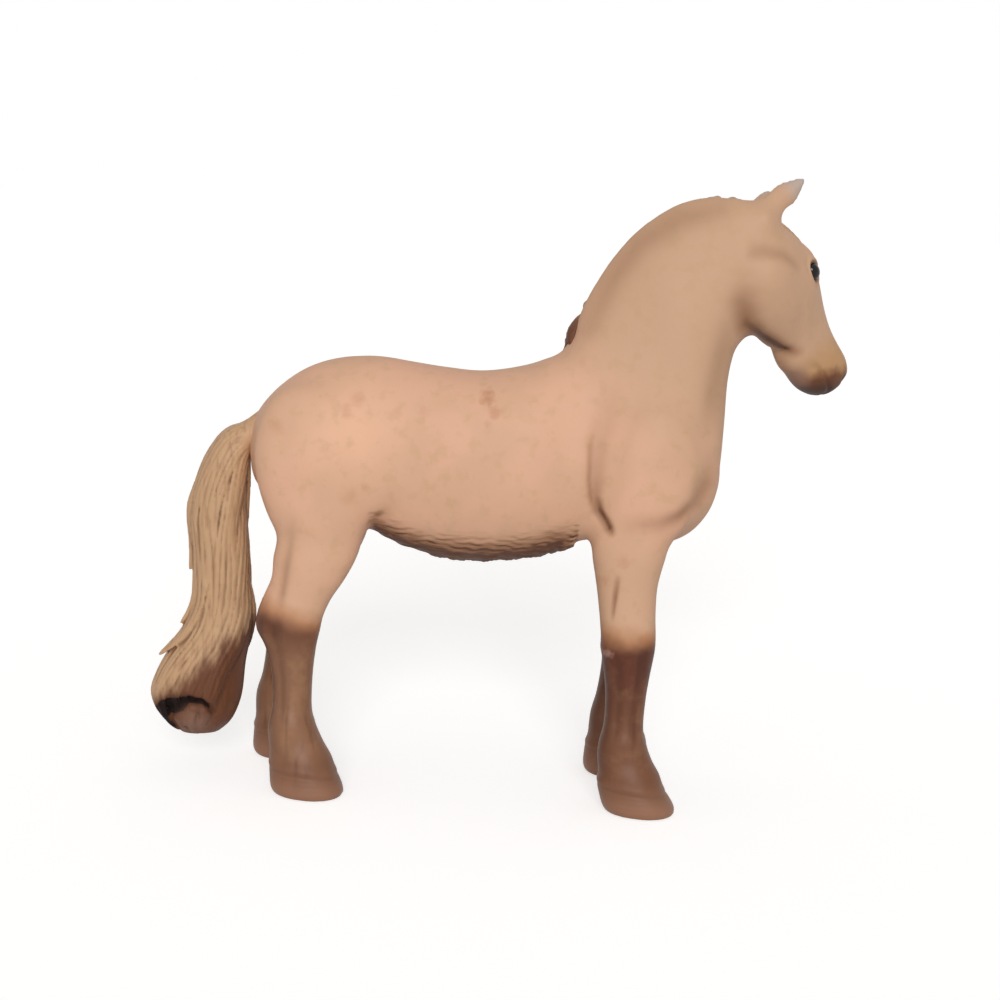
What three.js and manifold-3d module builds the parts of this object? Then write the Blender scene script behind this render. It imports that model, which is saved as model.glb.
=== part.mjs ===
// Toy horse of moulded soft plastic, standing square with its head turned to its left.
// Millimetres, +Z up. The nose points to +X, the right side to -Y, and the soles are at z = 0.
// It is glued up from nine mouldings: two body halves, a head, four legs, a mane and a tail.
import * as THREE from "three";
import { mergeVertices } from "three/addons/utils/BufferGeometryUtils.js";
import Module from "manifold-3d";

const wasm = await Module();
wasm.setup();

// Body
const bodyLength = 88; // buttock to chest
const withersHeight = 85.5; // from the ground
const barrelDepth = 35.8; // back to belly at the middle
const barrelWidth = 27;
const neckWidth = 21; // where it leaves the chest
const pollHeight = 114; // from the ground

// Head
const headLength = 38;
const headDepth = 17;
const headWidth = 13;
const headPitch = THREE.MathUtils.degToRad(54); // nose down from level
const headTurn = THREE.MathUtils.degToRad(37); // nose to its left
const headTilt = THREE.MathUtils.degToRad(7); // forehead to its left
const neckSweep = 2.2; // how far the poll is carried to the left
const earLength = 9.3;
const earWidth = 6.4;
const earThickness = 3.2;
const eyeDiameter = 3.2;
const nostrilDiameter = 2;
const mouthHeight = 0.5; // of the slit between the lips
const forelockWidth = 3.6;
const forelockThickness = 2;

// Fore leg
const shoulderDepth = 19.8;
const shoulderWidth = 12.4;
const forearmDepth = 13.4;
const forearmWidth = 9.4;
const kneeHeight = 34;
const kneeDepth = 10;
const kneeWidth = 8.6;
const foreCannonDepth = 7.5;

// Hind leg
const thighDepth = 23;
const thighWidth = 12.2;
const gaskinDepth = 13.8;
const gaskinWidth = 9.4;
const hockHeight = 34;
const hockDepth = 11.4;
const hockWidth = 8.4;
const hindCannonDepth = 7.3;

// What all four legs have alike
const cannonWidth = 6.8;
const fetlockHeight = 13.5;
const fetlockDepth = 8.6;
const fetlockWidth = 7.8;
const hoofHeight = 6.6;
const hoofLength = 13;
const hoofWidth = 11.4;
const stanceWidth = 22; // between the middles of a pair of hooves
const toeOut = THREE.MathUtils.degToRad(10);
const foreStride = 2; // the left fore hoof stands this far behind the right one
const hindStride = 6.8; // and the left hind hoof behind the right one

// Hair
const tailLength = 63;
const tailDepth = 11;
const tailWidth = 10.5;
const maneDrop = 23; // crest to the tips of the locks
const maneThickness = 3;

// How the mouldings go together
const glueGap = 0.3;
const wall = 3.5; // of the hollow barrel
const ribThickness = 2; // of the rib across the middle of the barrel
const webThickness = 9; // left between the two leg roots of a pair
const legPegDiameter = 5;
const legPegLength = 3;
const pinDiameter = 3;
const pinLength = 3.5;
const headPegDiameter = 5;
const headPegLength = 6;
const maneTongueDepth = 2.4;
const overrun = 6; // how far a cutting solid runs past what it cuts

// A ring is a flat closed curve: its middle, its long half axis, its half axis to the side,
// how much narrower it gets towards the end of the long axis, and how full its corners are.
const ring = (middle, along, across, taper = 0, fullness = 2) => [
  ...middle,
  ...along,
  ...across,
  taper,
  fullness,
];
const vectors = (r) => [0, 3, 6].map((i) => new THREE.Vector3(...r.slice(i, i + 3)));

// A ring between two points of the side view, with its middle at y = side.
const sideRing = (a, b, width, side = 0, taper = 0, fullness = 2) =>
  ring(
    [(a[0] + b[0]) / 2, side, (a[1] + b[1]) / 2],
    [(a[0] - b[0]) / 2, 0, (a[1] - b[1]) / 2],
    [0, width / 2, 0],
    taper,
    fullness,
  );

// The ring at a fractional place in a row of rings, on a Catmull-Rom curve.
function ringAt(rings, place) {
  const i = Math.min(Math.max(Math.floor(place), 0), rings.length - 2);
  const t = place - i;
  const at = (j) => rings[Math.min(Math.max(j, 0), rings.length - 1)];
  return rings[i].map((_, k) => {
    const [p, q, r, u] = [at(i - 1)[k], at(i)[k], at(i + 1)[k], at(i + 2)[k]];
    const bend = (2 * p - 5 * q + 4 * r - u) * t * t;
    return q + ((r - p) * t + bend + (3 * q - p - 3 * r + u) * t ** 3) / 2;
  });
}

// A row of rings made finer: this many steps from each ring to the next.
function refined(rings, steps) {
  const count = (rings.length - 1) * steps;
  return Array.from({ length: count + 1 }, (_, i) => ringAt(rings, i / steps));
}

// The same rings, bigger all round by a clearance, and reaching further by it at both ends.
function grown(rings, by) {
  const longer = (v) => v.clone().setLength(v.length() + by);
  return rings.map((r, i) => {
    const [middle, along, across] = vectors(r);
    const inner = i === 0 ? rings[1] : i === rings.length - 1 ? rings[i - 1] : null;
    if (inner) {
      const reach = middle.clone().sub(vectors(inner)[0]);
      middle.add(longer(reach)).sub(reach);
    }
    return ring(middle, longer(along), longer(across), r[9], r[10]);
  });
}

// A point on a ring. At a quarter turn it is at the end of the long axis.
function onRing(r, angle, swell = 1) {
  const power = (value) => Math.sign(value) * Math.abs(value) ** (2 / r[10]);
  const [middle, along, across] = vectors(r);
  const up = power(Math.sin(angle));
  const out = power(Math.cos(angle)) * (1 - r[9] * up);
  return middle.addScaledVector(along, swell * up).addScaledVector(across, swell * out);
}

const loopOf = (r, sides) =>
  Array.from({ length: sides }, (_, k) => onRing(r, (2 * Math.PI * k) / sides));

// The middle of some points.
const meanOf = (points) =>
  points.reduce((sum, p) => sum.add(p), new THREE.Vector3()).divideScalar(points.length);

// One closed skin over a row of loops of points, with a fan over each end.
function skin(loops) {
  const points = loops.flat();
  const sides = loops[0].length;
  const faces = [];
  const [first, last] = [points.length, points.length + 1];
  points.push(meanOf(loops[0]), meanOf(loops.at(-1)));
  const lastRow = (loops.length - 1) * sides;
  for (let k = 0; k < sides; k++) {
    const next = (k + 1) % sides;
    for (let row = 0; row < lastRow; row += sides) {
      faces.push(row + k, row + next, row + next + sides);
      faces.push(row + k, row + next + sides, row + k + sides);
    }
    faces.push(first, next, k);
    faces.push(last, lastRow + k, lastRow + next);
  }
  return facingOut(new THREE.BufferGeometry().setFromPoints(points).setIndex(faces));
}

// Turns every face round if the geometry is inside out.
function facingOut(geometry) {
  const p = geometry.getAttribute("position");
  const [a, b, c] = [new THREE.Vector3(), new THREE.Vector3(), new THREE.Vector3()];
  const index = geometry.index.array;
  let volume = 0;
  for (let i = 0; i < index.length; i += 3) {
    a.fromBufferAttribute(p, index[i]);
    b.fromBufferAttribute(p, index[i + 1]);
    c.fromBufferAttribute(p, index[i + 2]);
    volume += a.dot(b.cross(c));
  }
  if (volume < 0) index.reverse();
  return geometry;
}

// A three.js geometry as a solid that can be joined and cut.
function solid(geometry) {
  const bare = geometry.clone();
  bare.deleteAttribute("normal");
  bare.deleteAttribute("uv");
  const merged = mergeVertices(bare);
  return new wasm.Manifold(
    new wasm.Mesh({
      numProp: 3,
      vertProperties: new Float32Array(merged.attributes.position.array),
      triVerts: new Uint32Array(merged.index.array),
    }),
  );
}

const joined = (solids) => solids.reduce((a, b) => a.add(b));

// A smooth solid through a row of rings. A clearance makes it the space that it needs.
function loft(rings, sides, steps, by = 0) {
  const row = refined(by ? grown(rings, by) : rings, steps);
  return solid(skin(row.map((r) => loopOf(r, sides))));
}

// Only the outer skin of a bundle, so that no sealed gap stays between its strands.
const bundled = (made) =>
  made.decompose().reduce((most, part) => (part.volume() > most.volume() ? part : most));

// A block between two corners.
function block(a, b) {
  const size = a.map((v, i) => Math.abs(b[i] - v));
  const box = new THREE.BoxGeometry(...size);
  return solid(box.translate(...a.map((v, i) => (v + b[i]) / 2)));
}

// A round bar from one point to another.
function bar(from, to, diameter) {
  const [a, b] = [new THREE.Vector3(...from), new THREE.Vector3(...to)];
  const length = a.distanceTo(b);
  const geometry = new THREE.CylinderGeometry(diameter / 2, diameter / 2, length, 12);
  const up = new THREE.Vector3(0, 1, 0);
  const turn = new THREE.Quaternion().setFromUnitVectors(up, b.clone().sub(a).normalize());
  return solid(geometry.applyQuaternion(turn).translate(...a.lerp(b, 0.5)));
}

// A flat lock of hair along a path: full from the root on, pointed at the tip, and lying with
// its broad side to the middle of the path.
const strandSteps = 8;
function strand(path, width, thickness) {
  const curve = new THREE.CatmullRomCurve3(path);
  const heart = meanOf(path).setY(0);
  const rings = Array.from({ length: strandSteps + 1 }, (_, k) => {
    const t = k / strandSteps;
    const point = curve.getPoint(t);
    const tangent = curve.getTangent(t);
    const out = point.clone().sub(heart).cross(tangent).cross(tangent).negate().normalize();
    const side = out.clone().cross(tangent).normalize();
    const size = Math.sqrt(Math.sin(Math.PI * (0.18 + 0.8 * t)));
    out.multiplyScalar((size * thickness) / 2);
    return ring(point, out, side.multiplyScalar((size * width) / 2));
  });
  return loft(rings, 6, 1);
}

// Trunk from buttock to chest. Shares of the body length, of the withers height for the back
// and the belly, and of the barrel width.
const trunkShares = [
  // along, back, belly, width, taper, fullness
  [0.0, 0.765, 0.738, 0.13, 0, 2],
  [0.006, 0.808, 0.681, 0.32, 0, 2],
  [0.024, 0.848, 0.645, 0.48, 0.02, 2],
  [0.058, 0.889, 0.617, 0.6, 0.05, 2.05],
  [0.114, 0.931, 0.6, 0.7, 0.08, 2.1],
  [0.182, 0.952, 0.588, 0.78, 0.1, 2.1],
  [0.262, 0.955, 0.566, 0.85, 0.1, 2.1],
  [0.33, 0.947, 0.535, 0.92, 0.08, 2.15],
  [0.409, 0.938, 0.512, 0.98, 0.04, 2.2],
  [0.489, 0.935, 0.508, 1.0, 0.02, 2.2],
  [0.58, 0.954, 0.517, 0.98, 0.04, 2.2],
  [0.66, 0.987, 0.538, 0.9, 0.12, 2.15],
  [0.739, 0.995, 0.56, 0.81, 0.16, 2.1],
  [0.818, 0.974, 0.57, 0.77, 0.12, 2.1],
  [0.886, 0.943, 0.58, 0.79, 0.06, 2.1],
  [0.943, 0.894, 0.607, 0.75, 0, 2.1],
  [0.981, 0.83, 0.652, 0.62, 0, 2.1],
  [0.996, 0.78, 0.697, 0.42, 0, 2.1],
  [1.0, 0.753, 0.732, 0.2, 0, 2],
];
const deepestShare = 0.427; // the most from back to belly in that table
const trunkRings = trunkShares.map(([along, back, belly, width, taper, fullness]) => {
  const top = back * withersHeight;
  const bottom = top - ((back - belly) / deepestShare) * barrelDepth;
  const x = along * bodyLength;
  return sideRing([x, top], [x, bottom], width * barrelWidth, 0, taper, fullness);
});
const trunk = (by) => loft(trunkRings, 22, 2, by);

// Neck from inside the chest to the poll. A height above 1 is a share of the way from the
// withers up to the poll.
const neckShares = [
  // crest along, crest up, throat along, throat up, width, taper, fullness, sweep to the left
  [0.58, 0.9, 0.9, 0.63, 0.9, 0.1, 2.6, 0],
  [0.635, 0.965, 0.972, 0.675, 0.98, 0.12, 2.7, 0],
  [0.675, 1.03, 0.996, 0.742, 0.94, 0.16, 2.7, 0],
  [0.698, 1.21, 0.995, 0.85, 0.84, 0.26, 2.3, 0.04],
  [0.742, 1.46, 0.994, 0.941, 0.74, 0.32, 2.1, 0.14],
  [0.798, 1.69, 1.005, 1.02, 0.68, 0.32, 2.1, 0.32],
  [0.868, 1.885, 1.028, 1.1, 0.64, 0.28, 2.1, 0.55],
  [0.945, 1.99, 1.06, 1.2, 0.6, 0.2, 2.1, 0.78],
  [1.02, 1.96, 1.09, 1.4, 0.46, 0.1, 2.1, 0.95],
];
const heightAt = (share) =>
  share < 1 ? share * withersHeight : withersHeight + (share - 1) * (pollHeight - withersHeight);
const neckRings = neckShares.map((row) => {
  const [crestAlong, crestUp, throatAlong, throatUp, width, taper, fullness, sweep] = row;
  const crest = [crestAlong * bodyLength, heightAt(crestUp)];
  const throat = [throatAlong * bodyLength, heightAt(throatUp)];
  return sideRing(crest, throat, width * neckWidth, sweep * neckSweep, taper, fullness);
});
const neck = (by) => loft(neckRings, 20, 2, by);

// Head in its own frame: x from poll to muzzle, z to the forehead, y to its left.
const headShares = [
  // along, forehead, jaw, width, taper, fullness
  [0.0, 0.12, -0.3, 0.5, 0, 2],
  [0.03, 0.25, -0.5, 0.76, 0, 2],
  [0.1, 0.35, -0.66, 0.9, 0, 2.1],
  [0.2, 0.42, -0.75, 0.97, 0.02, 2.2],
  [0.32, 0.46, -0.73, 1.0, 0.04, 2.2],
  [0.44, 0.44, -0.63, 0.88, 0.05, 2.2],
  [0.56, 0.38, -0.49, 0.74, 0.02, 2.2],
  [0.68, 0.33, -0.42, 0.66, -0.04, 2.2],
  [0.79, 0.31, -0.38, 0.69, -0.1, 2.2],
  [0.88, 0.31, -0.37, 0.7, -0.08, 2.2],
  [0.95, 0.26, -0.3, 0.6, 0, 2.1],
  [0.98, 0.15, -0.2, 0.37, 0, 2],
  [1.0, 0.03, -0.1, 0.14, 0, 2],
];
const headRings = headShares.map(([along, forehead, jaw, width, taper, fullness]) => {
  const x = along * headLength;
  const [top, bottom] = [forehead * headDepth, jaw * headDepth];
  return sideRing([x, top], [x, bottom], width * headWidth, 0, taper, fullness);
});
const pollAlongShare = 1.04; // of the body length
const pollDownShare = 0.14; // of the head length, under the top of the crest
const headFrame = new THREE.Matrix4()
  .makeTranslation(
    pollAlongShare * bodyLength,
    neckSweep,
    pollHeight - pollDownShare * headLength,
  )
  .multiply(new THREE.Matrix4().makeRotationZ(headTurn))
  .multiply(new THREE.Matrix4().makeRotationY(headPitch))
  .multiply(new THREE.Matrix4().makeRotationX(-headTilt));

// An ear is a leaf, scooped out in front. Its rings go up from inside the poll.
const earShares = [
  // up, width, thickness, lean
  [-0.3, 0.5, 0.8, 0],
  [0.0, 0.8, 1.0, 0.0],
  [0.25, 1.0, 1.0, 0.02],
  [0.5, 0.92, 0.85, 0.04],
  [0.75, 0.6, 0.6, 0.07],
  [0.93, 0.28, 0.34, 0.1],
  [1.0, 0.08, 0.14, 0.12],
];
const earPlaceShares = [-0.06, 0.24, 0.22]; // of the head's length, width and depth
const scoopShares = { width: 0.66, thickness: 0.8, forward: 0.5 };
const earTurns = {
  right: { side: -1, splay: THREE.MathUtils.degToRad(4), lean: THREE.MathUtils.degToRad(-8) },
  left: { side: 1, splay: THREE.MathUtils.degToRad(30), lean: THREE.MathUtils.degToRad(4) },
};
function earLeaf(widthShare, thicknessShare, forward) {
  const rings = earShares.map(([up, width, thickness, lean]) =>
    ring(
      [lean * earLength + forward, 0, up * earLength],
      [(thickness * earThickness * thicknessShare) / 2, 0, 0],
      [0, (width * earWidth * widthShare) / 2, 0],
    ),
  );
  return loft(rings, 10, 1);
}
function ear({ side, splay, lean }) {
  const { width, thickness, forward } = scoopShares;
  const scoop = earLeaf(width, thickness, forward * earThickness);
  const [along, out, up] = earPlaceShares;
  const place = new THREE.Matrix4()
    .makeTranslation(along * headLength, side * out * headWidth, up * headDepth)
    .multiply(new THREE.Matrix4().makeRotationX(-side * splay))
    .multiply(new THREE.Matrix4().makeRotationY(lean));
  return earLeaf(1, 1, 0).subtract(scoop).transform(place.elements);
}

// A lump on each side of the head, at shares of its length, half width and depth.
function pair(sizes, [along, out, up]) {
  return [-1, 1].map((side) =>
    solid(
      new THREE.SphereGeometry(1, 10, 6)
        .scale(...sizes.map((size) => size / 2))
        .translate(along * headLength, (side * out * headWidth) / 2, up * headDepth),
    ),
  );
}
const eyeShares = [0.31, 0.84, 0.22];
const cheekShares = [0.22, 0.5, -0.22];
const nostrilShares = [0.9, 0.62, 0.12];
const mouthShares = [0.78, -0.17]; // along, up
const cheekSizes = [0.4 * headLength, 0.52 * headWidth, 0.82 * headDepth];
const nostrilSizes = [1.4 * nostrilDiameter, nostrilDiameter, nostrilDiameter];

// Two locks fall from between the ears down the forehead.
const forelockPathShares = [
  // along, to the side, up
  [-0.08, 0.05, 0.1],
  [-0.02, 0.06, 0.27],
  [0.1, 0.08, 0.36],
  [0.2, 0.06, 0.42],
  [0.3, 0.12, 0.45],
];
const forelockSpreadShare = 0.08;
function forelock(side) {
  const path = forelockPathShares.map(([along, out, up]) => {
    const y = (out + side * forelockSpreadShare) * headWidth;
    return new THREE.Vector3(along * headLength, y, up * headDepth);
  });
  return strand(path, forelockWidth, forelockThickness);
}

// A round peg on the back of the head runs down into the neck.
const headPegShares = [0.12, -0.15]; // where it starts in the head: along, up
const headPegDepthShare = 0.55; // of the head's depth, how far it runs inside the head
function headPeg(by) {
  const [along, up] = headPegShares;
  const start = new THREE.Vector3(along * headLength, 0, up * headDepth);
  start.applyMatrix4(headFrame);
  const aim = vectors(neckRings.at(-4))[0].sub(start).normalize();
  const reach = headPegDepthShare * headDepth + headPegLength + by;
  const end = start.clone().addScaledVector(aim, reach);
  return bar(start, end, headPegDiameter + 2 * by);
}
function skull(by) {
  const cheeks = pair(cheekSizes.map((size) => size + 2 * by), cheekShares);
  return joined([loft(headRings, 16, 2, by), ...cheeks]).transform(headFrame.elements);
}
function makeHead() {
  const eyes = pair([eyeDiameter, eyeDiameter, eyeDiameter], eyeShares);
  const ears = [ear(earTurns.right), ear(earTurns.left)];
  const features = joined([...ears, forelock(-1), forelock(1), ...eyes]);
  const [along, up] = mouthShares;
  const mouth = block(
    [along * headLength, -headWidth, up * headDepth],
    [headLength + overrun, headWidth, up * headDepth + mouthHeight],
  );
  const hollows = joined([mouth, ...pair(nostrilSizes, nostrilShares)]);
  return features
    .transform(headFrame.elements)
    .subtract(neck(glueGap))
    .add(skull(0))
    .subtract(hollows.transform(headFrame.elements))
    .add(headPeg(0));
}

// Legs. A table runs down from one height to the next, in shares of the sizes given with it.
function stations(shares, from, to, depth, width, spread) {
  return shares.map(([down, forward, depthShare, outShare, widthShare, turn = 0]) => ({
    height: from + down * (to - from),
    forward: forward * depth,
    depth: depthShare * depth,
    out: (outShare * spread) / 2,
    width: widthShare * width,
    turn,
  }));
}
const shoulderShares = [
  // down, forward, depth, out, width
  [0.0, 0.1, 0.2, 0.46, 0.34],
  [0.05, 0.1, 0.5, 0.47, 0.6],
  [0.14, 0.1, 0.74, 0.48, 0.8],
  [0.34, 0.1, 0.94, 0.49, 0.96],
  [0.58, 0.096, 1.0, 0.49, 1.0],
  [0.82, 0.05, 0.95, 0.52, 0.96],
];
const forearmShares = [
  [0.0, -0.02, 1.2, 0.73, 1.09],
  [0.21, -0.03, 1.06, 0.8, 1.0],
  [0.48, -0.05, 0.85, 0.86, 0.92],
  [0.76, -0.03, 0.77, 0.91, 0.88],
];
const kneeShares = [
  [0.0, -0.02, 1.0, 0.93, 1.0],
  [0.24, -0.02, 0.9, 0.94, 0.9],
];
const foreCannonShares = [
  [0.55, -0.02, 1.0, 0.96, 1.0],
  [0.85, -0.01, 0.98, 0.97, 1.0],
];
const thighShares = [
  [0.0, 0.06, 0.22, 0.46, 0.34],
  [0.05, 0.06, 0.5, 0.47, 0.6],
  [0.15, 0.065, 0.74, 0.48, 0.8],
  [0.36, 0.08, 0.93, 0.49, 0.96],
  [0.58, 0.1, 1.0, 0.5, 1.0],
  [0.79, 0.125, 0.99, 0.52, 0.98],
  [1.0, 0.14, 0.87, 0.57, 0.9],
];
const gaskinShares = [
  [0.21, 0.25, 1.22, 0.72, 1.05],
  [0.42, 0.2, 1.06, 0.78, 1.0],
  [0.63, 0.12, 0.93, 0.83, 0.93],
  [0.82, 0.01, 0.85, 0.86, 0.88],
];
const hockShares = [
  [0.0, -0.095, 1.0, 0.88, 1.0],
  [0.14, -0.09, 0.905, 0.9, 0.96],
  [0.3, -0.045, 0.73, 0.92, 0.88],
];
const hindCannonShares = [
  [0.57, -0.04, 1.0, 0.94, 1.0],
  [0.85, 0.0, 1.0, 0.96, 1.0],
];
const fetlockShares = [[0.0, 0.03, 1.0, 0.98, 1.0, 0.3]];
const hoofShares = [
  // the first two are the pastern, then come the coronet and the wall
  [-0.5, 0.1, 0.76, 0.99, 0.72, 0.7],
  [-0.15, 0.17, 0.84, 1.0, 0.84, 1],
  [0.0, 0.18, 0.9, 1.0, 0.92, 1],
  [0.1, 0.19, 0.87, 1.0, 0.9, 1],
  [0.86, 0.27, 1.0, 1.0, 1.0, 1],
  [1.0, 0.27, 0.96, 1.0, 0.95, 1],
];
const elbowHeight = 0.6 * withersHeight;
const stifleHeight = 0.61 * withersHeight;
const shoulderTop = 0.92 * withersHeight;
const hipTop = 0.9 * withersHeight;
const footRows = [
  ...stations(fetlockShares, fetlockHeight, 0, fetlockDepth, fetlockWidth, stanceWidth),
  ...stations(hoofShares, hoofHeight, 0, hoofLength, hoofWidth, stanceWidth),
];
const foreRows = [
  ...stations(shoulderShares, shoulderTop, elbowHeight, shoulderDepth, shoulderWidth, barrelWidth),
  ...stations(forearmShares, elbowHeight, kneeHeight, forearmDepth, forearmWidth, stanceWidth),
  ...stations(kneeShares, kneeHeight, fetlockHeight, kneeDepth, kneeWidth, stanceWidth),
  ...stations(foreCannonShares, kneeHeight, fetlockHeight, foreCannonDepth, cannonWidth, stanceWidth),
  ...footRows,
];
const hindRows = [
  ...stations(thighShares, hipTop, stifleHeight, thighDepth, thighWidth, barrelWidth),
  ...stations(gaskinShares, stifleHeight, hockHeight, gaskinDepth, gaskinWidth, stanceWidth),
  ...stations(hockShares, hockHeight, fetlockHeight, hockDepth, hockWidth, stanceWidth),
  ...stations(hindCannonShares, hockHeight, fetlockHeight, hindCannonDepth, cannonWidth, stanceWidth),
  ...footRows,
];
const fore = { rows: foreRows, x: 0.823 * bodyLength, root: elbowHeight, depth: shoulderDepth };
const hind = { rows: hindRows, x: 0.119 * bodyLength, root: stifleHeight, depth: thighDepth };
const legs = [
  { name: "fore_leg_right", side: -1, stride: 0, ...fore },
  { name: "fore_leg_left", side: 1, stride: foreStride, ...fore },
  { name: "hind_leg_right", side: -1, stride: 0, ...hind },
  { name: "hind_leg_left", side: 1, stride: hindStride, ...hind },
];

// Level rings down a leg. Below its root the leg is carried back by the stride.
function legRings({ rows, x, side, stride, root }) {
  return rows.map(({ height, forward, depth, out, width, turn }) => {
    const angle = side * turn * toeOut;
    const carried = stride * Math.max(0, 1 - height / root);
    return ring(
      [x + forward - carried, side * out, height],
      [(Math.cos(angle) * depth) / 2, (Math.sin(angle) * depth) / 2, 0],
      [(-Math.sin(angle) * width) / 2, (Math.cos(angle) * width) / 2, 0],
      0,
      height > root ? 2.5 : 2.2,
    );
  });
}

// A leg has a flat seat against the web of the body, from its root up, and a round peg in it.
// With a clearance it is the pocket that the body needs.
const pegForwardShare = 0.08; // of the depth of the leg's root
const pegHeightShare = 0.42; // from the root to the withers
function makeLeg(leg, by = 0) {
  const { x, side, root, depth } = leg;
  const seat = (side * webThickness) / 2;
  const inside = block(
    [x - depth, seat, root + by],
    [x + depth, -side * barrelWidth, withersHeight + overrun],
  );
  const pegX = x + pegForwardShare * depth;
  const pegHeight = root + pegHeightShare * (withersHeight - root);
  const peg = bar(
    [pegX, seat + side * legPegDiameter, pegHeight],
    [pegX, seat - side * (legPegLength + by), pegHeight],
    legPegDiameter + 2 * by,
  );
  return loft(legRings(leg), 16, 1, by).subtract(inside).add(peg);
}

// Tail as an envelope of rings down from the dock. Shares of its depth back from the dock and
// of its length down, behind and in front, and of its width.
const tailShares = [
  // behind back, behind down, front back, front down, width
  [-0.4, -0.07, -0.46, 0.06, 0.5],
  [0.05, 0.0, 0.0, 0.1, 0.66],
  [0.46, 0.035, 0.08, 0.14, 0.76],
  [0.74, 0.12, 0.08, 0.195, 0.86],
  [0.91, 0.21, 0.08, 0.265, 0.92],
  [0.98, 0.29, 0.07, 0.355, 0.94],
  [0.9, 0.4, 0.04, 0.45, 0.92],
  [0.87, 0.5, 0.02, 0.54, 0.92],
  [0.88, 0.58, -0.02, 0.61, 0.96],
  [1.05, 0.67, 0.0, 0.69, 1.05],
  [1.36, 0.76, 0.0, 0.76, 1.15],
  [1.56, 0.86, -0.02, 0.865, 1.18],
  [1.38, 0.94, 0.1, 0.94, 0.95],
  [1.1, 0.99, 0.36, 0.98, 0.5],
];
const dockHeight = 0.81 * withersHeight;
const tailRings = tailShares.map(([behind, behindDown, front, frontDown, width]) =>
  sideRing(
    [-behind * tailDepth, dockHeight - behindDown * tailLength],
    [-front * tailDepth, dockHeight - frontDown * tailLength],
    width * tailWidth,
  ),
);

// Locks lie round a core. Each keeps its angle round the envelope, winding a little to and
// fro, and some lift off at the tip.
const coreShare = 0.88;
const swirlShare = 0.03; // of a turn
const lockSteps = 10;
const lockShares = [
  // angle as a share of a turn, first ring, last ring, thickness, lift at the tip
  [0.0, 1.0, 12.4, 0.5, 0.0],
  [0.1, 1.6, 9.3, 0.44, 0.34],
  [0.19, 2.2, 12.2, 0.48, 0.04],
  [0.28, 1.2, 7.6, 0.42, 0.3],
  [0.25, 6.6, 12.9, 0.46, 0.0],
  [0.37, 1.8, 10.2, 0.46, 0.28],
  [0.5, 1.2, 12.6, 0.5, 0.0],
  [0.62, 2.4, 12.9, 0.48, 0.02],
  [0.75, 1.4, 12.0, 0.46, 0.0],
  [0.88, 2.0, 12.8, 0.48, 0.04],
];
function tailLock([turn, first, last, thickness, lift]) {
  const rings = Array.from({ length: lockSteps + 1 }, (_, i) => {
    const t = i / lockSteps;
    const place = first + (last - first) * t;
    const envelope = ringAt(tailRings, place);
    const [, along, across] = vectors(envelope);
    const angle = 2 * Math.PI * (turn + swirlShare * Math.sin(place));
    const seat = onRing(envelope, angle, 1 + lift * t ** 3 - 0.35 * thickness);
    const full = 0.06 + 0.94 * Math.sin(Math.PI * Math.min(1, 0.28 + 0.72 * t)) ** 0.6;
    const size = (thickness * full * (along.length() + across.length())) / 2;
    return ring(seat, along.setLength(size), across.setLength(size));
  });
  return loft(rings, 6, 1);
}
function tailCore(by) {
  const rings = tailRings.map((r) => {
    const [middle, along, across] = vectors(r);
    return ring(middle, along.multiplyScalar(coreShare), across.multiplyScalar(coreShare));
  });
  return loft(rings, 10, 1, by);
}
function makeTail() {
  const locks = joined(lockShares.map(tailLock));
  return bundled(locks.subtract(trunk(glueGap)).add(tailCore(0)));
}

// The mane is a sheet of locks that falls over the crest to the left, and hangs from a tongue
// that is let into the crest. Cuts across the sheet follow the rings of the neck.
const maneFirstRing = 1.75;
const maneLastRing = 7.75;
const maneCount = 9; // locks
const maneCuts = 4; // to a lock
const manePathSteps = 6; // down a cut
const maneTongueSteps = 12;
const overCrest = 0.18; // radians past the crest where the hair starts
const hangShare = 0.62; // how far the hair slips back along the neck as it goes down
const maneHeartShare = 0.4; // how near the inside of the sheet is to the middle of the neck
const manePlace = (t) => maneFirstRing + (maneLastRing - maneFirstRing) * t;
function maneCut(i) {
  const t = i / (maneCount * maneCuts);
  const bulge = Math.abs(Math.sin((Math.PI * i) / maneCuts));
  const longLock = Math.floor(i / maneCuts) % 2;
  const fallShare = 0.6 + 0.26 * Math.sin(Math.PI * Math.min(1, t + 0.2));
  const dropShare = fallShare + (0.16 + 0.1 * longLock) * bulge;
  const reach = (dropShare * maneDrop) / vectors(ringAt(neckRings, manePlace(t)))[1].length();
  const outer = [];
  const inner = [];
  for (let k = 0; k <= manePathSteps; k++) {
    const u = k / manePathSteps;
    const place = Math.max(0, manePlace(t) - hangShare * reach * u * u);
    const r = ringAt(neckRings, place);
    const heart = vectors(r)[0];
    const seat = onRing(r, Math.PI / 2 + overCrest - u * reach);
    const rise = maneThickness * (0.3 + 0.4 * bulge) * (0.6 + 0.6 * Math.sin(Math.PI * u));
    outer.push(seat.clone().sub(heart).setLength(rise).add(seat));
    inner.unshift(seat.lerp(heart, 1 - maneHeartShare));
  }
  return [...outer, ...inner];
}
function maneTongue(by) {
  const rings = Array.from({ length: maneTongueSteps + 1 }, (_, k) => {
    const [middle, along] = vectors(ringAt(neckRings, manePlace(k / maneTongueSteps)));
    const sunk = along.clone().setLength(0.45 * maneTongueDepth);
    const seat = middle.add(along).sub(sunk);
    return ring(seat, along.setLength(maneTongueDepth), [0, 0.6 * maneThickness, 0]);
  });
  return loft(rings, 10, 1, by);
}
function makeMane() {
  const cuts = Array.from({ length: maneCount * maneCuts + 1 }, (_, i) => maneCut(i));
  const sheet = solid(skin(cuts));
  const laid = sheet.subtract(neck(glueGap)).subtract(trunk(glueGap)).subtract(skull(glueGap));
  return bundled(laid.add(maneTongue(0)));
}

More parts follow.
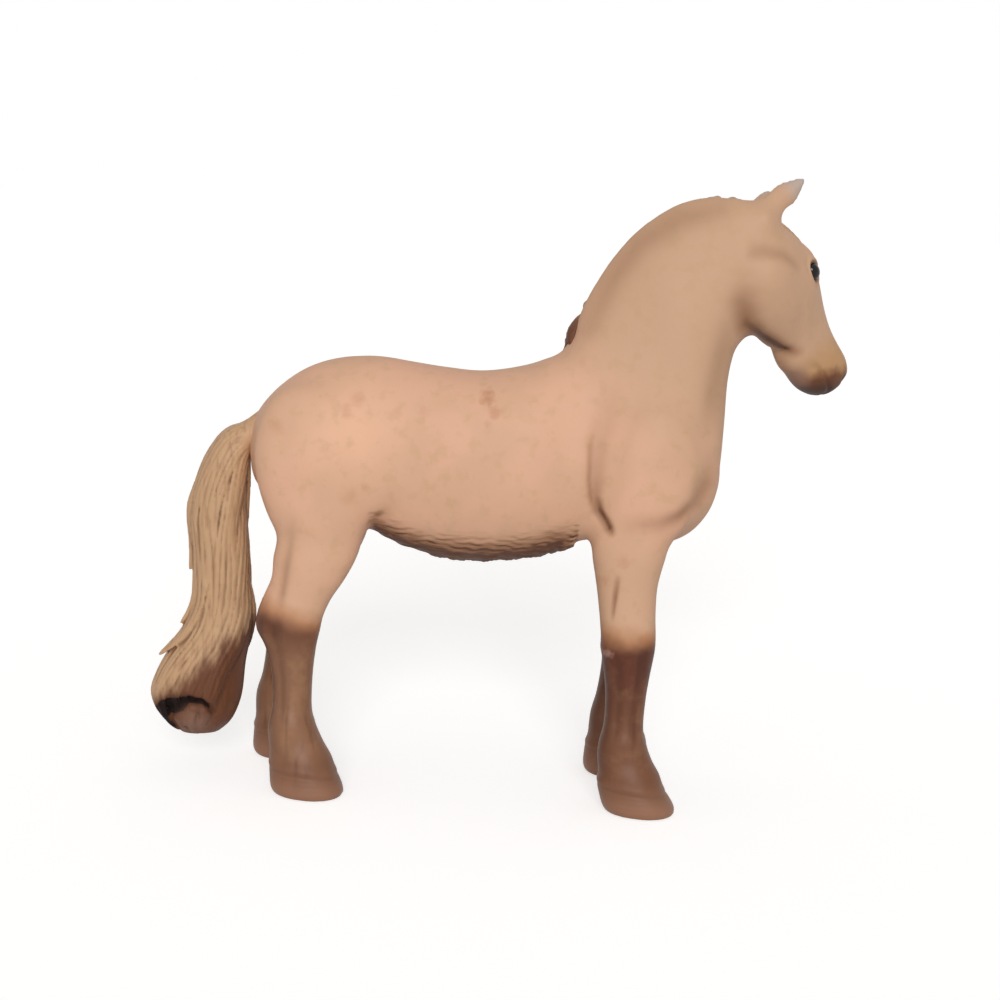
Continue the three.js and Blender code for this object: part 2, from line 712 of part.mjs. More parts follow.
// The barrel is cored out between the leg roots, with a rib across its middle.
function barrelCore() {
  const from = hind.x + 0.6 * thighDepth + wall;
  const to = fore.x - 0.4 * shoulderDepth - wall;
  const middle = (from + to) / 2;
  const inner = loft(trunkRings.slice(3, -3), 16, 1, -wall);
  const chamber = (a, b) =>
    inner.intersect(block([a, -barrelWidth, 0], [b, barrelWidth, withersHeight]));
  return chamber(from, middle - ribThickness / 2).add(chamber(middle + ribThickness / 2, to));
}

// The halves meet face to face at y = 0. Pins on the right one go into holes in the left one.
const pinShares = [
  // along the body, up
  [0.2, 0.85],
  [0.92, 0.74],
  [0.72, 0.9],
  [0.86, 1.2],
];
function pins(by) {
  return joined(
    pinShares.map(([along, up]) => {
      const [x, z] = [along * bodyLength, heightAt(up)];
      return bar([x, -pinLength, z], [x, pinLength + by, z], pinDiameter + 2 * by);
    }),
  );
}
function makeBodyHalves() {
  const body = joined([trunk(0), neck(0)])
    .subtract(joined(legs.map((leg) => makeLeg(leg, glueGap))))
    .subtract(skull(glueGap))
    .subtract(headPeg(glueGap))
    .subtract(tailCore(glueGap))
    .subtract(maneTongue(glueGap))
    .subtract(barrelCore());
  const half = (side) =>
    body.intersect(
      block([-bodyLength, 0, 0], [2 * bodyLength, side * barrelWidth, pollHeight + overrun]),
    );
  return { right: half(-1).add(pins(0)), left: half(1).subtract(pins(glueGap)) };
}

const colours = { hide: 0xd8b294, leg: 0x71503d, mane: 0xc9a27f, tail: 0xc79f78 };
const figure = new THREE.Group();
function add(name, made, color) {
  const mesh = made.getMesh();
  const geometry = new THREE.BufferGeometry()
    .setAttribute("position", new THREE.BufferAttribute(mesh.vertProperties, 3))
    .setIndex(new THREE.BufferAttribute(mesh.triVerts, 1));
  geometry.computeVertexNormals();
  const material = new THREE.MeshStandardMaterial({ color, roughness: 0.6, metalness: 0 });
  const part = new THREE.Mesh(geometry, material);
  part.name = name;
  figure.add(part);
}
const halves = makeBodyHalves();
add("body_right_half", halves.right, colours.hide);
add("body_left_half", halves.left, colours.hide);
add("head", makeHead(), colours.hide);
for (const leg of legs) add(leg.name, makeLeg(leg), colours.leg);
add("mane", makeMane(), colours.mane);
add("tail", makeTail(), colours.tail);

// The origin is on the ground under the middle of the figure.
const middle = new THREE.Box3().setFromObject(figure).getCenter(new THREE.Vector3());
figure.position.set(-middle.x, -middle.y, 0);

export default figure;
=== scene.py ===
# %% [markdown]
# # A moulded toy horse
# The real toy is soft plastic, pressed in metal moulds, glued up from a few mouldings and then
# sprayed with matte paint. Its maker cut the moulds from one piece of sculpture, so the skin
# runs smoothly from moulding to moulding. This lesson models it in the same order: clay over
# simple forms, one smooth skin, cuts where the mouldings part, then hair, eyes and paint.

# %% The fixed frame
import math
import bmesh
import bpy
import numpy as np
from mathutils import Matrix, Vector


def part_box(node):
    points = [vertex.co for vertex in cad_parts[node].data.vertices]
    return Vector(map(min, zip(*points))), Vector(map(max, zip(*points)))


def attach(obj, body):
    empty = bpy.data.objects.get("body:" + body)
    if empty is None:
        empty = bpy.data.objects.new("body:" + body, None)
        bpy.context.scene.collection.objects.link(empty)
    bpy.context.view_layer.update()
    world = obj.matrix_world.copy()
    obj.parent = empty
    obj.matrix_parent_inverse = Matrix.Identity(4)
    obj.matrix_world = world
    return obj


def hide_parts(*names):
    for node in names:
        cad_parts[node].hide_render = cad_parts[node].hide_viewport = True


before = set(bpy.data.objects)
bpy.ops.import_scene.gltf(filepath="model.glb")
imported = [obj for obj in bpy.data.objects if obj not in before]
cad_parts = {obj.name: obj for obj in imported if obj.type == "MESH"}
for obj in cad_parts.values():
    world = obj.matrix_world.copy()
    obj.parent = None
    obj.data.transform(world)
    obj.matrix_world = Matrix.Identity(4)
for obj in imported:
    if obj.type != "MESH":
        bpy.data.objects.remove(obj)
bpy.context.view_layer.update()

print("nodes to dress:", sorted(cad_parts))

# %% [markdown]
# ## Sizes
# All shapes are worked out in millimetres, with x = 0 at the buttock, y = 0 between the two
# body halves and z = 0 on the ground. These are the named sizes of the solid model. The last
# step moves every point into the frame, in metres.

# %% Sizes in millimetres
BODY_LENGTH = 88.0
WITHERS = 85.5
BARREL_DEPTH = 35.8
BARREL_WIDTH = 27.0
NECK_WIDTH = 21.0
POLL = 114.0
HEAD_LENGTH = 38.0
HEAD_DEPTH = 17.0
HEAD_WIDTH = 13.0
HEAD_PITCH = math.radians(54)
HEAD_TURN = math.radians(37)
HEAD_TILT = math.radians(7)
NECK_SWEEP = 2.2
STANCE = 22.0
TOE_OUT = math.radians(10)
TAIL_LENGTH = 63.0
TAIL_DEPTH = 11.0
TAIL_WIDTH = 10.5
MANE_DROP = 23.0

left_half_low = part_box("body_left_half")[0]
OFFSET = np.array([left_half_low[0], left_half_low[1], 0.0]) * 1000


def to_frame(points):
    """Millimetres on the figure to metres in the frame: add the offset, divide by 1000."""
    return (np.asarray(points, float) + OFFSET) / 1000


print("figure to frame, mm:", OFFSET.round(3))

# %% [markdown]
# ## Forms from rings
# A leg, a neck or a barrel is a row of rings. Each ring is a squarish ellipse with a middle, a
# long half axis and a half axis to the side, and it may get narrower towards one end. Twenty
# rings say more about a leg than a thousand sculpted points, and a smooth curve through them
# gives as many points as we like.

# %% Rings and the curve through them
def ring(middle, along, across, taper=0.0, fullness=2.0):
    """Eleven numbers: middle, long half axis, side half axis, taper and fullness."""
    return [*middle, *along, *across, taper, fullness]


def side_ring(a, b, width, side=0.0, taper=0.0, fullness=2.0):
    """A ring between two points (x, z) of the side view."""
    middle = [(a[0] + b[0]) / 2, side, (a[1] + b[1]) / 2]
    along = [(a[0] - b[0]) / 2, 0, (a[1] - b[1]) / 2]
    return ring(middle, along, [0, width / 2, 0], taper, fullness)


def rings_at(rings, places):
    """Catmull-Rom: at i + t the rings p, q, r, u around it give
    q + ((r - p) t + (2p - 5q + 4r - u) t^2 + (3q - p - 3r + u) t^3) / 2."""
    rings = np.asarray(rings, float)
    last = len(rings) - 1
    i = np.clip(np.floor(places).astype(int), 0, last - 1)
    t = (np.asarray(places, float) - i)[:, None]
    p, q, r, u = (rings[np.clip(i + k, 0, last)] for k in (-1, 0, 1, 2))
    square = (2 * p - 5 * q + 4 * r - u) * t**2
    return q + ((r - p) * t + square + (3 * q - p - 3 * r + u) * t**3) / 2


def on_rings(rings, angles, swell=1.0):
    """middle + along * up + across * out, where up = sin^(2 / fullness) with its sign kept
    and out = cos^(2 / fullness) * (1 - taper * up). Rows are rings, columns are angles."""
    rings = np.asarray(rings, float)
    angles = np.broadcast_to(angles, (len(rings), np.shape(angles)[-1]))
    power = 2 / rings[:, 10:11]
    up = np.sign(np.sin(angles)) * np.abs(np.sin(angles)) ** power
    out = np.sign(np.cos(angles)) * np.abs(np.cos(angles)) ** power
    out = out * (1 - rings[:, 9:10] * up)
    along = rings[:, None, 3:6] * (up * swell)[..., None]
    across = rings[:, None, 6:9] * (out * swell)[..., None]
    return rings[:, None, 0:3] + along + across


print("top of a round ring:", on_rings([ring((0, 0, 0), (0, 0, 5), (0, 5, 0))], [np.pi / 2]).round(1))

# %% Closed surfaces through rings
def closed(grid):
    """The closed surface over a grid of points whose columns run round: a square for each
    cell, and a fan of triangles from the mean of the first and of the last row."""
    rows, sides = grid.shape[:2]
    index = np.arange(rows * sides).reshape(rows, sides)
    near, far = index[:-1], index[1:]
    squares = np.stack([near, np.roll(near, -1, 1), np.roll(far, -1, 1), far], -1).reshape(-1, 4)
    first, last = rows * sides, rows * sides + 1
    fan_a = np.stack([np.full(sides, first), np.roll(index[0], -1), index[0]], -1)
    fan_b = np.stack([np.full(sides, last), index[-1], np.roll(index[-1], -1)], -1)
    points = np.vstack([grid.reshape(-1, 3), grid[0].mean(0), grid[-1].mean(0)])
    return points, squares, np.vstack([fan_a, fan_b])


def loft(rings, sides, steps):
    """A closed surface through a row of rings."""
    places = np.arange((len(rings) - 1) * steps + 1) / steps
    angles = np.linspace(0, 2 * np.pi, sides, endpoint=False)
    return closed(on_rings(rings_at(rings, places), angles))


def placed(points, matrix):
    """Every point multiplied by a 4 x 4 matrix."""
    m = np.array(matrix)
    return points @ m[:3, :3].T + m[:3, 3]


def moved(surface, matrix):
    """The same surface in another place."""
    points, squares, triangles = surface
    return placed(points, matrix), squares, triangles


tube = [ring((x, 0, 0), (0, 0, 5), (0, 5, 0)) for x in (0, 10, 20)]
print("a tube of three rings:", len(loft(tube, 8, 2)[0]), "points")

# %% [markdown]
# ## The trunk and the neck
# Each table is read off the side view: how high the back and the belly are at a station, and
# how wide the body is there. The neck starts inside the chest and sweeps to its left at the
# top, because this horse looks to its left.

# %% Tables of the trunk and the neck
TRUNK = [
    # along, back, belly, width, taper, fullness
    [0.0, 0.765, 0.738, 0.13, 0, 2],
    [0.006, 0.808, 0.681, 0.32, 0, 2],
    [0.024, 0.843, 0.645, 0.48, 0.02, 2],
    [0.058, 0.883, 0.617, 0.6, 0.05, 2.05],
    [0.114, 0.926, 0.6, 0.7, 0.08, 2.1],
    [0.182, 0.949, 0.588, 0.78, 0.1, 2.1],
    [0.262, 0.955, 0.566, 0.85, 0.1, 2.1],
    [0.33, 0.947, 0.535, 0.92, 0.08, 2.15],
    [0.409, 0.938, 0.517, 0.98, 0.04, 2.2],
    [0.489, 0.935, 0.513, 1.0, 0.02, 2.2],
    [0.58, 0.954, 0.522, 0.98, 0.04, 2.2],
    [0.66, 0.987, 0.546, 0.9, 0.12, 2.15],
    [0.739, 0.995, 0.572, 0.81, 0.16, 2.1],
    [0.818, 0.974, 0.566, 0.77, 0.12, 2.1],
    [0.886, 0.943, 0.57, 0.79, 0.06, 2.1],
    [0.94, 0.894, 0.597, 0.75, 0, 2.1],
    [0.976, 0.83, 0.646, 0.62, 0, 2.1],
    [0.991, 0.78, 0.697, 0.42, 0, 2.1],
    [0.995, 0.753, 0.732, 0.2, 0, 2],
]
NECK = [
    # crest along, crest up, throat along, throat up, width, taper, fullness, sweep
    [0.58, 0.9, 0.9, 0.63, 0.9, 0.1, 2.6, 0],
    [0.635, 0.965, 0.972, 0.675, 0.98, 0.12, 2.7, 0],
    [0.668, 1.04, 0.994, 0.742, 0.94, 0.16, 2.7, 0],
    [0.69, 1.22, 0.999, 0.85, 0.84, 0.26, 2.3, 0.04],
    [0.737, 1.475, 1.0, 0.941, 0.74, 0.32, 2.1, 0.14],
    [0.793, 1.705, 1.01, 1.02, 0.68, 0.32, 2.1, 0.32],
    [0.868, 1.895, 1.028, 1.1, 0.64, 0.28, 2.1, 0.55],
    [0.945, 1.985, 1.06, 1.2, 0.6, 0.2, 2.1, 0.78],
    [1.02, 1.995, 1.09, 1.4, 0.46, 0.1, 2.1, 0.95],
]
DEEPEST = 0.427  # the most from back to belly in the first table
print("stations along trunk and neck:", len(TRUNK), "and", len(NECK))

# %% Trunk and neck from their tables
def height_at(share):
    """A share of the withers height, or past 1 a share of the way from there to the poll."""
    return share * WITHERS if share < 1 else WITHERS + (share - 1) * (POLL - WITHERS)


def trunk_ring(along, back, belly, width, taper, fullness):
    """One row of the first table: the belly lies under the back by its share of the deepest."""
    top = back * WITHERS
    low = top - (back - belly) / DEEPEST * BARREL_DEPTH
    x = along * BODY_LENGTH
    return side_ring([x, top], [x, low], width * BARREL_WIDTH, 0, taper, fullness)


def neck_ring(crest_x, crest_up, throat_x, throat_up, width, taper, fullness, sweep):
    """One row of the second table, as a ring between the crest and the throat."""
    crest = [crest_x * BODY_LENGTH, height_at(crest_up)]
    throat = [throat_x * BODY_LENGTH, height_at(throat_up)]
    return side_ring(crest, throat, width * NECK_WIDTH, sweep * NECK_SWEEP, taper, fullness)


trunk_rings = np.array([trunk_ring(*row) for row in TRUNK])
neck_rings = np.array([neck_ring(*row) for row in NECK])
belly_line = trunk_rings[:, [0, 2]] - trunk_rings[:, [3, 5]]


def crest_ring(row, share):
    """A small ring that sits on the crest of a neck ring and stands 1.4 mm past it."""
    up = row[3:6] / np.linalg.norm(row[3:6])
    return ring(row[:3] + row[3:6] - up * 0.3 * share, up * 1.7 * share, [0, 2.6 * share, 0])


crest_places = np.linspace(1.6, 7.8, 15)
crest_shares = 0.2 + 0.8 * np.sqrt(np.sin(np.pi * np.linspace(0.02, 0.97, 15)))
crest_rings = [crest_ring(row, share)
               for row, share in zip(rings_at(neck_rings, crest_places), crest_shares)]
clay = [loft(trunk_rings, 64, 5), loft(neck_rings, 56, 6), loft(crest_rings, 24, 4)]
print("trunk and neck points:", sum(len(surface[0]) for surface in clay))

# %% [markdown]
# ## The head
# A head is easiest to shape in its own frame: x from the poll to the muzzle, z to the
# forehead, y to its left. One matrix then nods, turns and tips it.

# %% Table and frame of the head
HEAD = [
    # along, forehead, jaw, width, taper, fullness
    [0.0, 0.12, -0.3, 0.5, 0, 2],
    [0.03, 0.25, -0.5, 0.76, 0, 2],
    [0.1, 0.34, -0.66, 0.9, 0, 2.1],
    [0.2, 0.42, -0.75, 0.97, 0.02, 2.2],
    [0.32, 0.46, -0.73, 1.0, 0.04, 2.2],
    [0.44, 0.44, -0.63, 0.88, 0.05, 2.2],
    [0.56, 0.38, -0.5, 0.73, 0.02, 2.2],
    [0.68, 0.33, -0.455, 0.69, -0.04, 2.2],
    [0.79, 0.32, -0.4, 0.75, -0.08, 2.2],
    [0.88, 0.34, -0.34, 0.77, -0.04, 2.2],
    [0.95, 0.3, -0.24, 0.64, 0, 2.1],
    [0.98, 0.19, -0.15, 0.37, 0, 2],
    [1.0, 0.03, -0.1, 0.14, 0, 2],
]
HEAD_FRAME = (
    Matrix.Translation((1.04 * BODY_LENGTH, NECK_SWEEP, POLL - 0.14 * HEAD_LENGTH))
    @ Matrix.Rotation(HEAD_TURN, 4, "Z")
    @ Matrix.Rotation(HEAD_PITCH, 4, "Y")
    @ Matrix.Rotation(-HEAD_TILT, 4, "X")
)
print("poll, mm:", [round(v, 1) for v in HEAD_FRAME.translation])

# %% Head and cheeks
def head_ring(along, forehead, jaw, width, taper, fullness):
    """One row of the table, as a ring between the forehead and the jaw."""
    top = [along * HEAD_LENGTH, forehead * HEAD_DEPTH]
    low = [along * HEAD_LENGTH, jaw * HEAD_DEPTH]
    return side_ring(top, low, width * HEAD_WIDTH, 0, taper, fullness)


def ball(middle, sizes, rows=24, sides=40):
    """A stretched ball: middle + half sizes * (cos t, sin t cos a, sin t sin a)."""
    t = np.linspace(0, np.pi, rows + 2)[1:-1, None]
    a = np.linspace(0, 2 * np.pi, sides, endpoint=False)[None, :]
    unit = np.stack([np.cos(t) + 0 * a, np.sin(t) * np.cos(a), np.sin(t) * np.sin(a)], -1)
    points, squares, triangles = closed(unit)
    points[-2:] = [[1, 0, 0], [-1, 0, 0]]
    return points * np.array(sizes) / 2 + np.array(middle), squares, triangles


head_rings = np.array([head_ring(*row) for row in HEAD])
clay.append(moved(loft(head_rings, 48, 5), HEAD_FRAME))
for side in (-1, 1):
    cheek = (0.22 * HEAD_LENGTH, side * 0.25 * HEAD_WIDTH, -0.22 * HEAD_DEPTH)
    cheek_sizes = (0.4 * HEAD_LENGTH, 0.52 * HEAD_WIDTH, 0.82 * HEAD_DEPTH)
    clay.append(moved(ball(cheek, cheek_sizes), HEAD_FRAME))
print("head reaches x =", round(float(clay[3][0][:, 0].max()), 1), "mm")

# %% [markdown]
# ## Ears
# An ear is a leaf that is curled towards the front: a flat ring whose two edges are pushed
# forward by the square of how far out they are. Its foot sinks into the poll, and the right
# ear hides the left one from the side.

# %% Ears
EAR = [
    # up, half width, half thickness, lean, curl
    [-0.3, 0.5, 0.5, 0.0, 0.0],
    [-0.12, 0.55, 0.48, 0.0, 0.1],
    [0.05, 0.54, 0.36, 0.0, 0.26],
    [0.25, 0.52, 0.27, 0.01, 0.32],
    [0.5, 0.42, 0.22, 0.03, 0.28],
    [0.75, 0.245, 0.19, 0.05, 0.18],
    [0.92, 0.12, 0.14, 0.07, 0.1],
    [1.0, 0.03, 0.07, 0.08, 0.05],
]
EAR_LENGTH, EAR_WIDTH = 10.7, 6.4


def ear_frame(side, splay, lean, twist):
    """Where an ear stands on the head: splayed outwards, leaning forward and twisted."""
    return (HEAD_FRAME
            @ Matrix.Translation((-0.074 * HEAD_LENGTH, side * 0.2 * HEAD_WIDTH, 0.07 * HEAD_DEPTH))
            @ Matrix.Rotation(math.radians(-side * splay), 4, "X")
            @ Matrix.Rotation(math.radians(lean), 4, "Y")
            @ Matrix.Rotation(math.radians(-side * twist), 4, "Z"))


def ear():
    """x = lean + thickness * sin a + curl * cos^2 a, y = width * cos a, z = up the ear."""
    rows = rings_at(np.array(EAR), np.linspace(0, len(EAR) - 1, 60))
    up, wide, thick, tip, curl = (rows[:, k : k + 1] for k in range(5))
    a = np.linspace(0, 2 * np.pi, 48, endpoint=False)[None, :]
    x = tip * EAR_LENGTH + (thick * np.sin(a) + curl * np.cos(a) ** 2) * EAR_WIDTH / 2
    return closed(np.stack([x, wide * EAR_WIDTH * np.cos(a), up * EAR_LENGTH + 0 * a], -1))


EAR_FRAMES = [ear_frame(-1, 14, -2.5, 65), ear_frame(1, 14, 9, 35)]
clay += [moved(ear(), frame_of_ear) for frame_of_ear in EAR_FRAMES]
clay += [moved(ball((-1.5, side * 2.2, -0.6), (7, 6.5, 6.5)), HEAD_FRAME) for side in (-1, 1)]
tips = [m @ Vector((0.8, 0, EAR_LENGTH)) for m in EAR_FRAMES]
print("ear tips, mm:", [tuple(round(v, 1) for v in tip) for tip in tips])

# %% [markdown]
# ## The legs
# A leg runs down in level rings. Each row says how far down it is between two joints, and how
# far forward, how deep, how far out and how wide it is, in shares of that stretch's own sizes.
# The left legs stand a little further back than the right ones.

# %% Foot
def stations(rows, top, low, depth, width, spread):
    """Shares to millimetres: height, forward, depth, out, width, and the turn of the toe."""
    made = []
    for down, forward, depth_share, out, width_share, *turn in rows:
        height = top + down * (low - top)
        made.append([height, forward * depth, depth_share * depth, out * spread / 2,
                     width_share * width, *(turn or [0])])
    return made


ELBOW, STIFLE = 0.6 * WITHERS, 0.61 * WITHERS
KNEE = HOCK = 34.0
FETLOCK = 13.5
HOOF_HEIGHT, HOOF_LENGTH, HOOF_WIDTH = 6.6, 13.0, 11.4


def foot(lean):
    """Fetlock, pastern and hoof. lean moves the pastern forward, in hoof lengths."""
    rows = stations([[0.0, 0.03 + lean, 1.0, 0.98, 1.0, 0.3]], FETLOCK, 0, 8.6, 7.8, STANCE)
    return rows + stations(
        [[-0.5, 0.09 + lean, 0.79, 0.99, 0.74, 0.7], [-0.15, 0.155 + lean, 0.88, 1.0, 0.85, 1],
         [0.15, 0.18 + lean, 0.95, 1.0, 0.92, 1], [0.3, 0.2 + lean, 0.97, 1.0, 0.92, 1],
         [0.8, 0.26, 1.06, 1.0, 1.0, 1], [1.0, 0.29, 1.0, 1.0, 0.95, 1]],
        HOOF_HEIGHT, 0, HOOF_LENGTH, HOOF_WIDTH, STANCE)


print("rings in a foot:", len(foot(0)))

# %% Tables of the four legs
fore = stations(
    [[0.0, 0.1, 0.2, 0.46, 0.34], [0.05, 0.1, 0.5, 0.47, 0.6], [0.14, 0.1, 0.74, 0.48, 0.8],
     [0.34, 0.1, 0.94, 0.49, 0.96], [0.58, 0.096, 1.0, 0.49, 1.0],
     [0.82, 0.05, 0.95, 0.52, 0.96]],
    0.92 * WITHERS, ELBOW, 19.8, 12.4, BARREL_WIDTH)
fore += stations(
    [[0.0, -0.093, 1.157, 0.73, 1.09], [0.21, -0.104, 1.0, 0.8, 1.0],
     [0.48, -0.104, 0.85, 0.86, 0.92], [0.76, -0.075, 0.785, 0.91, 0.88]],
    ELBOW, KNEE, 13.4, 9.4, STANCE)
fore += stations([[0.0, -0.06, 1.02, 0.93, 1.0], [0.24, -0.04, 0.94, 0.94, 0.9]],
                 KNEE, FETLOCK, 10.0, 8.6, STANCE)
fore += stations([[0.55, -0.033, 1.03, 0.96, 1.0], [0.85, -0.04, 0.99, 0.97, 1.0]],
                 KNEE, FETLOCK, 7.5, 6.8, STANCE)
hind = stations(
    [[0.0, 0.06, 0.22, 0.45, 0.2], [0.05, 0.06, 0.5, 0.46, 0.42],
     [0.15, 0.065, 0.74, 0.47, 0.64], [0.36, 0.08, 0.93, 0.48, 0.88],
     [0.58, 0.1, 1.0, 0.5, 1.0], [0.79, 0.135, 0.97, 0.52, 0.98],
     [1.0, 0.157, 0.835, 0.57, 0.9]],
    0.9 * WITHERS, STIFLE, 23.0, 12.2, BARREL_WIDTH)
hind += stations(
    [[0.21, 0.28, 1.16, 0.72, 1.05], [0.42, 0.22, 1.1, 0.78, 1.0],
     [0.63, 0.145, 0.97, 0.83, 0.93], [0.82, 0.02, 0.91, 0.86, 0.88]],
    STIFLE, HOCK, 13.8, 9.4, STANCE)
hind += stations(
    [[0.0, -0.083, 1.08, 0.88, 1.0], [0.14, -0.108, 1.04, 0.9, 0.96],
     [0.3, -0.055, 0.83, 0.92, 0.88]],
    HOCK, FETLOCK, 11.4, 8.4, STANCE)
hind += stations([[0.57, -0.01, 1.03, 0.94, 1.0], [0.85, 0.01, 1.01, 0.96, 1.0]],
                 HOCK, FETLOCK, 7.3, 6.8, STANCE)
FORE_CUT, HIND_CUT = 46.0, 47.5  # how high the fore and the hind legs part from the body
FORE_FROM, HIND_TO = 62, 25  # fore legs stand in front of the first, hind legs behind the second
LEGS = {
    # rows, x, side, stride, where it starts, its curve, height of the root, height of the cut
    "fore_leg_right": (fore + foot(-0.06), 0.826 * BODY_LENGTH, -1, 0.0, 0, 1, ELBOW, FORE_CUT),
    "fore_leg_left": (fore + foot(-0.02), 0.841 * BODY_LENGTH, 1, 4.3, 0, 2.4, ELBOW, FORE_CUT),
    "hind_leg_right": (hind + foot(-0.005), 0.119 * BODY_LENGTH, -1, 0.0, 0, 1, STIFLE, HIND_CUT),
    "hind_leg_left": (hind + foot(0), 0.119 * BODY_LENGTH, 1, 6.5, 0.36, 0.45, STIFLE, HIND_CUT),
}
print("strides, mm:", {name: row[3] for name, row in LEGS.items()})

# %% Legs from their tables
def leg_rings(rows, x, side, stride, start, curve, root):
    """Level rings. The leg is carried back by stride * ((down - start) / (1 - start))^curve,
    where down is the share of the way from the root to the ground."""
    made = []
    for height, forward, depth, out, width, turn in rows:
        angle = side * turn * TOE_OUT
        back = stride * max(0.0, (1 - height / root - start) / (1 - start)) ** curve
        c, s = math.cos(angle), math.sin(angle)
        made.append(ring([x + forward - back, side * out, height],
                         [c * depth / 2, s * depth / 2, 0], [-s * width / 2, c * width / 2, 0],
                         0, 2.5 if height > root else 2.2))
    return np.array(made)


legs = {name: leg_rings(*row[:-1]) for name, row in LEGS.items()}
clay += [loft(rings, 40, 5) for rings in legs.values()]
print("leg stations:", {name: len(rings) for name, rings in legs.items()})

# %% [markdown]
# ## One skin over the clay
# The forms overlap as rolls of clay do. Voxel Remesh walks over them with a grid of 0.4
# millimetre cubes and returns one closed skin of squares. Where two forms meet, the skin has a
# sharp crease, so the next step finds the hollow places and melts only those and their
# neighbourhood. Rounding everything alike would shrink the hooves and the muzzle.

# %% Voxel Remesh
def soup(surfaces):
    """Several closed surfaces as one list of points and one list of faces."""
    points, faces, start = [], [], 0
    for spots, squares, triangles in surfaces:
        points.append(spots)
        faces += (squares + start).tolist() + (triangles + start).tolist()
        start += len(spots)
    return np.vstack(points), faces


def one_skin(surfaces, voxel):
    """The union of closed surfaces, as squares on a grid of cubes of this size."""
    points, faces = soup(surfaces)
    mesh = bpy.data.meshes.new("clay")
    mesh.from_pydata(points.tolist(), [], faces)
    lump = bpy.data.objects.new("clay", mesh)
    bpy.context.collection.objects.link(lump)
    remesh = lump.modifiers.new("Remesh", "REMESH")
    remesh.mode = "VOXEL"
    remesh.voxel_size = voxel
    done = lump.evaluated_get(bpy.context.evaluated_depsgraph_get())
    result = done.to_mesh()
    skin = np.empty(len(result.vertices) * 3)
    result.vertices.foreach_get("co", skin)
    squares = np.empty(len(result.loops), np.int64)
    result.loops.foreach_get("vertex_index", squares)
    done.to_mesh_clear()
    bpy.data.objects.remove(lump)
    bpy.data.meshes.remove(mesh)
    return skin.reshape(-1, 3), squares.reshape(-1, 4)


print("clay:", sum(len(surface[0]) for surface in clay), "points in", len(clay), "forms")

# %% Neighbours, normals and soft steps
def walks(faces):
    """Every edge of every face, from the corner where the face's walk round comes first."""
    return np.vstack([np.stack([f[:, k], f[:, (k + 1) % f.shape[1]]], -1)
                      for f in faces for k in range(f.shape[1])])


def edges_of(faces):
    """Every pair of neighbouring points once, and how many faces share it."""
    return np.unique(np.sort(walks(faces), axis=1), axis=0, return_counts=True)


def neighbour_mean(values, edges):
    """For each point, the mean of the values at its neighbours."""
    a = np.concatenate([edges[:, 0], edges[:, 1]])
    b = np.concatenate([edges[:, 1], edges[:, 0]])
    count = np.maximum(np.bincount(a, minlength=len(values)), 1)
    columns = values.reshape(len(values), -1)
    total = [np.bincount(a, column[b], minlength=len(values)) for column in columns.T]
    return (np.stack(total, -1) / count[:, None]).reshape(values.shape)


def smoothed(values, edges, rounds, weight=1.0):
    """Each round moves a value, or a point, by half its weight towards the mean of its
    neighbours."""
    share = 0.5 * np.broadcast_to(weight, len(values)).reshape(-1, *[1] * (values.ndim - 1))
    for _ in range(rounds):
        values = values + share * (neighbour_mean(values, edges) - values)
    return values


def normals_of(points, faces):
    """The unit mean of the normals of the faces at each point, by the size of the faces."""
    total = np.zeros_like(points)
    for f in faces:
        n = np.cross(points[f[:, 2]] - points[f[:, 0]], points[f[:, -1]] - points[f[:, 1]])
        for k in range(f.shape[1]):
            for axis in range(3):
                total[:, axis] += np.bincount(f[:, k], n[:, axis], minlength=len(points))
    return total / np.maximum(np.linalg.norm(total, axis=1, keepdims=True), 1e-12)


def ramp(x, low, high):
    """0 up to low, 1 from high on, and 3t^2 - 2t^3 between. low may be the larger one."""
    t = np.clip((x - low) / (high - low), 0, 1)
    return t * t * (3 - 2 * t)


def between(x, start, full, fading, end):
    """0 up to start, 1 from full to fading, and 0 again from end on."""
    return ramp(x, start, full) * ramp(x, end, fading)


def bell(x, middle, width):
    """exp(-((x - middle) / width)^2): 1 in the middle and almost 0 two widths away."""
    return np.exp(-(((x - middle) / width) ** 2))


print("a ramp half way:", ramp(0.5, 0, 1), "and a bell one width out:", bell(1, 0, 1).round(3))

# %% The skin, with its joins melted
points, squares = one_skin(clay, 0.4)
edges, _ = edges_of([squares])
calm = smoothed(points, edges, 4)
normals = normals_of(calm, [squares])
hollow = ((neighbour_mean(calm, edges) - calm) * normals).sum(1)
near = (hollow > 0.0065).astype(float)
near = smoothed(near, edges, 90)
along, _, height = points.T
melt = np.clip(near * 14, 0, 1) * (0.1 + 0.9 * ramp(height, 30, 48))
for x, z in ((25, 51), (79, 51)):  # the stifle and the elbow keep more of their edge
    melt *= 1 - 0.75 * bell(along, x, 4) * bell(height, z, 3.5)
rump = bell(along, 12, 12) * bell(height, 74, 8)
melt = np.maximum(melt, np.clip(rump * 1.6, 0, 1))
melt = np.maximum(melt, 0.05 + 0.1 * ramp(height, 44, 52))
INTO_HEAD = HEAD_FRAME.inverted()
on_head = placed(points, INTO_HEAD)
melt *= 1 - 0.94 * ramp(on_head[:, 2], 6.0, 8.0) * ramp(on_head[:, 0], 6, 4)  # not the ears
points = smoothed(points, edges, 150, melt)
print("skin:", len(points), "points,", len(squares), "squares")

# %% [markdown]
# ## Muscles and folds
# A sculptor now pushes clay on and draws the loop tool through it. A muscle is a bump in the
# side view, exp(-r^2), and a fold is a groove along a path, exp(-(distance / width)^2). Both
# move the skin along its normal, and only where it faces sideways, so one list serves both
# flanks.

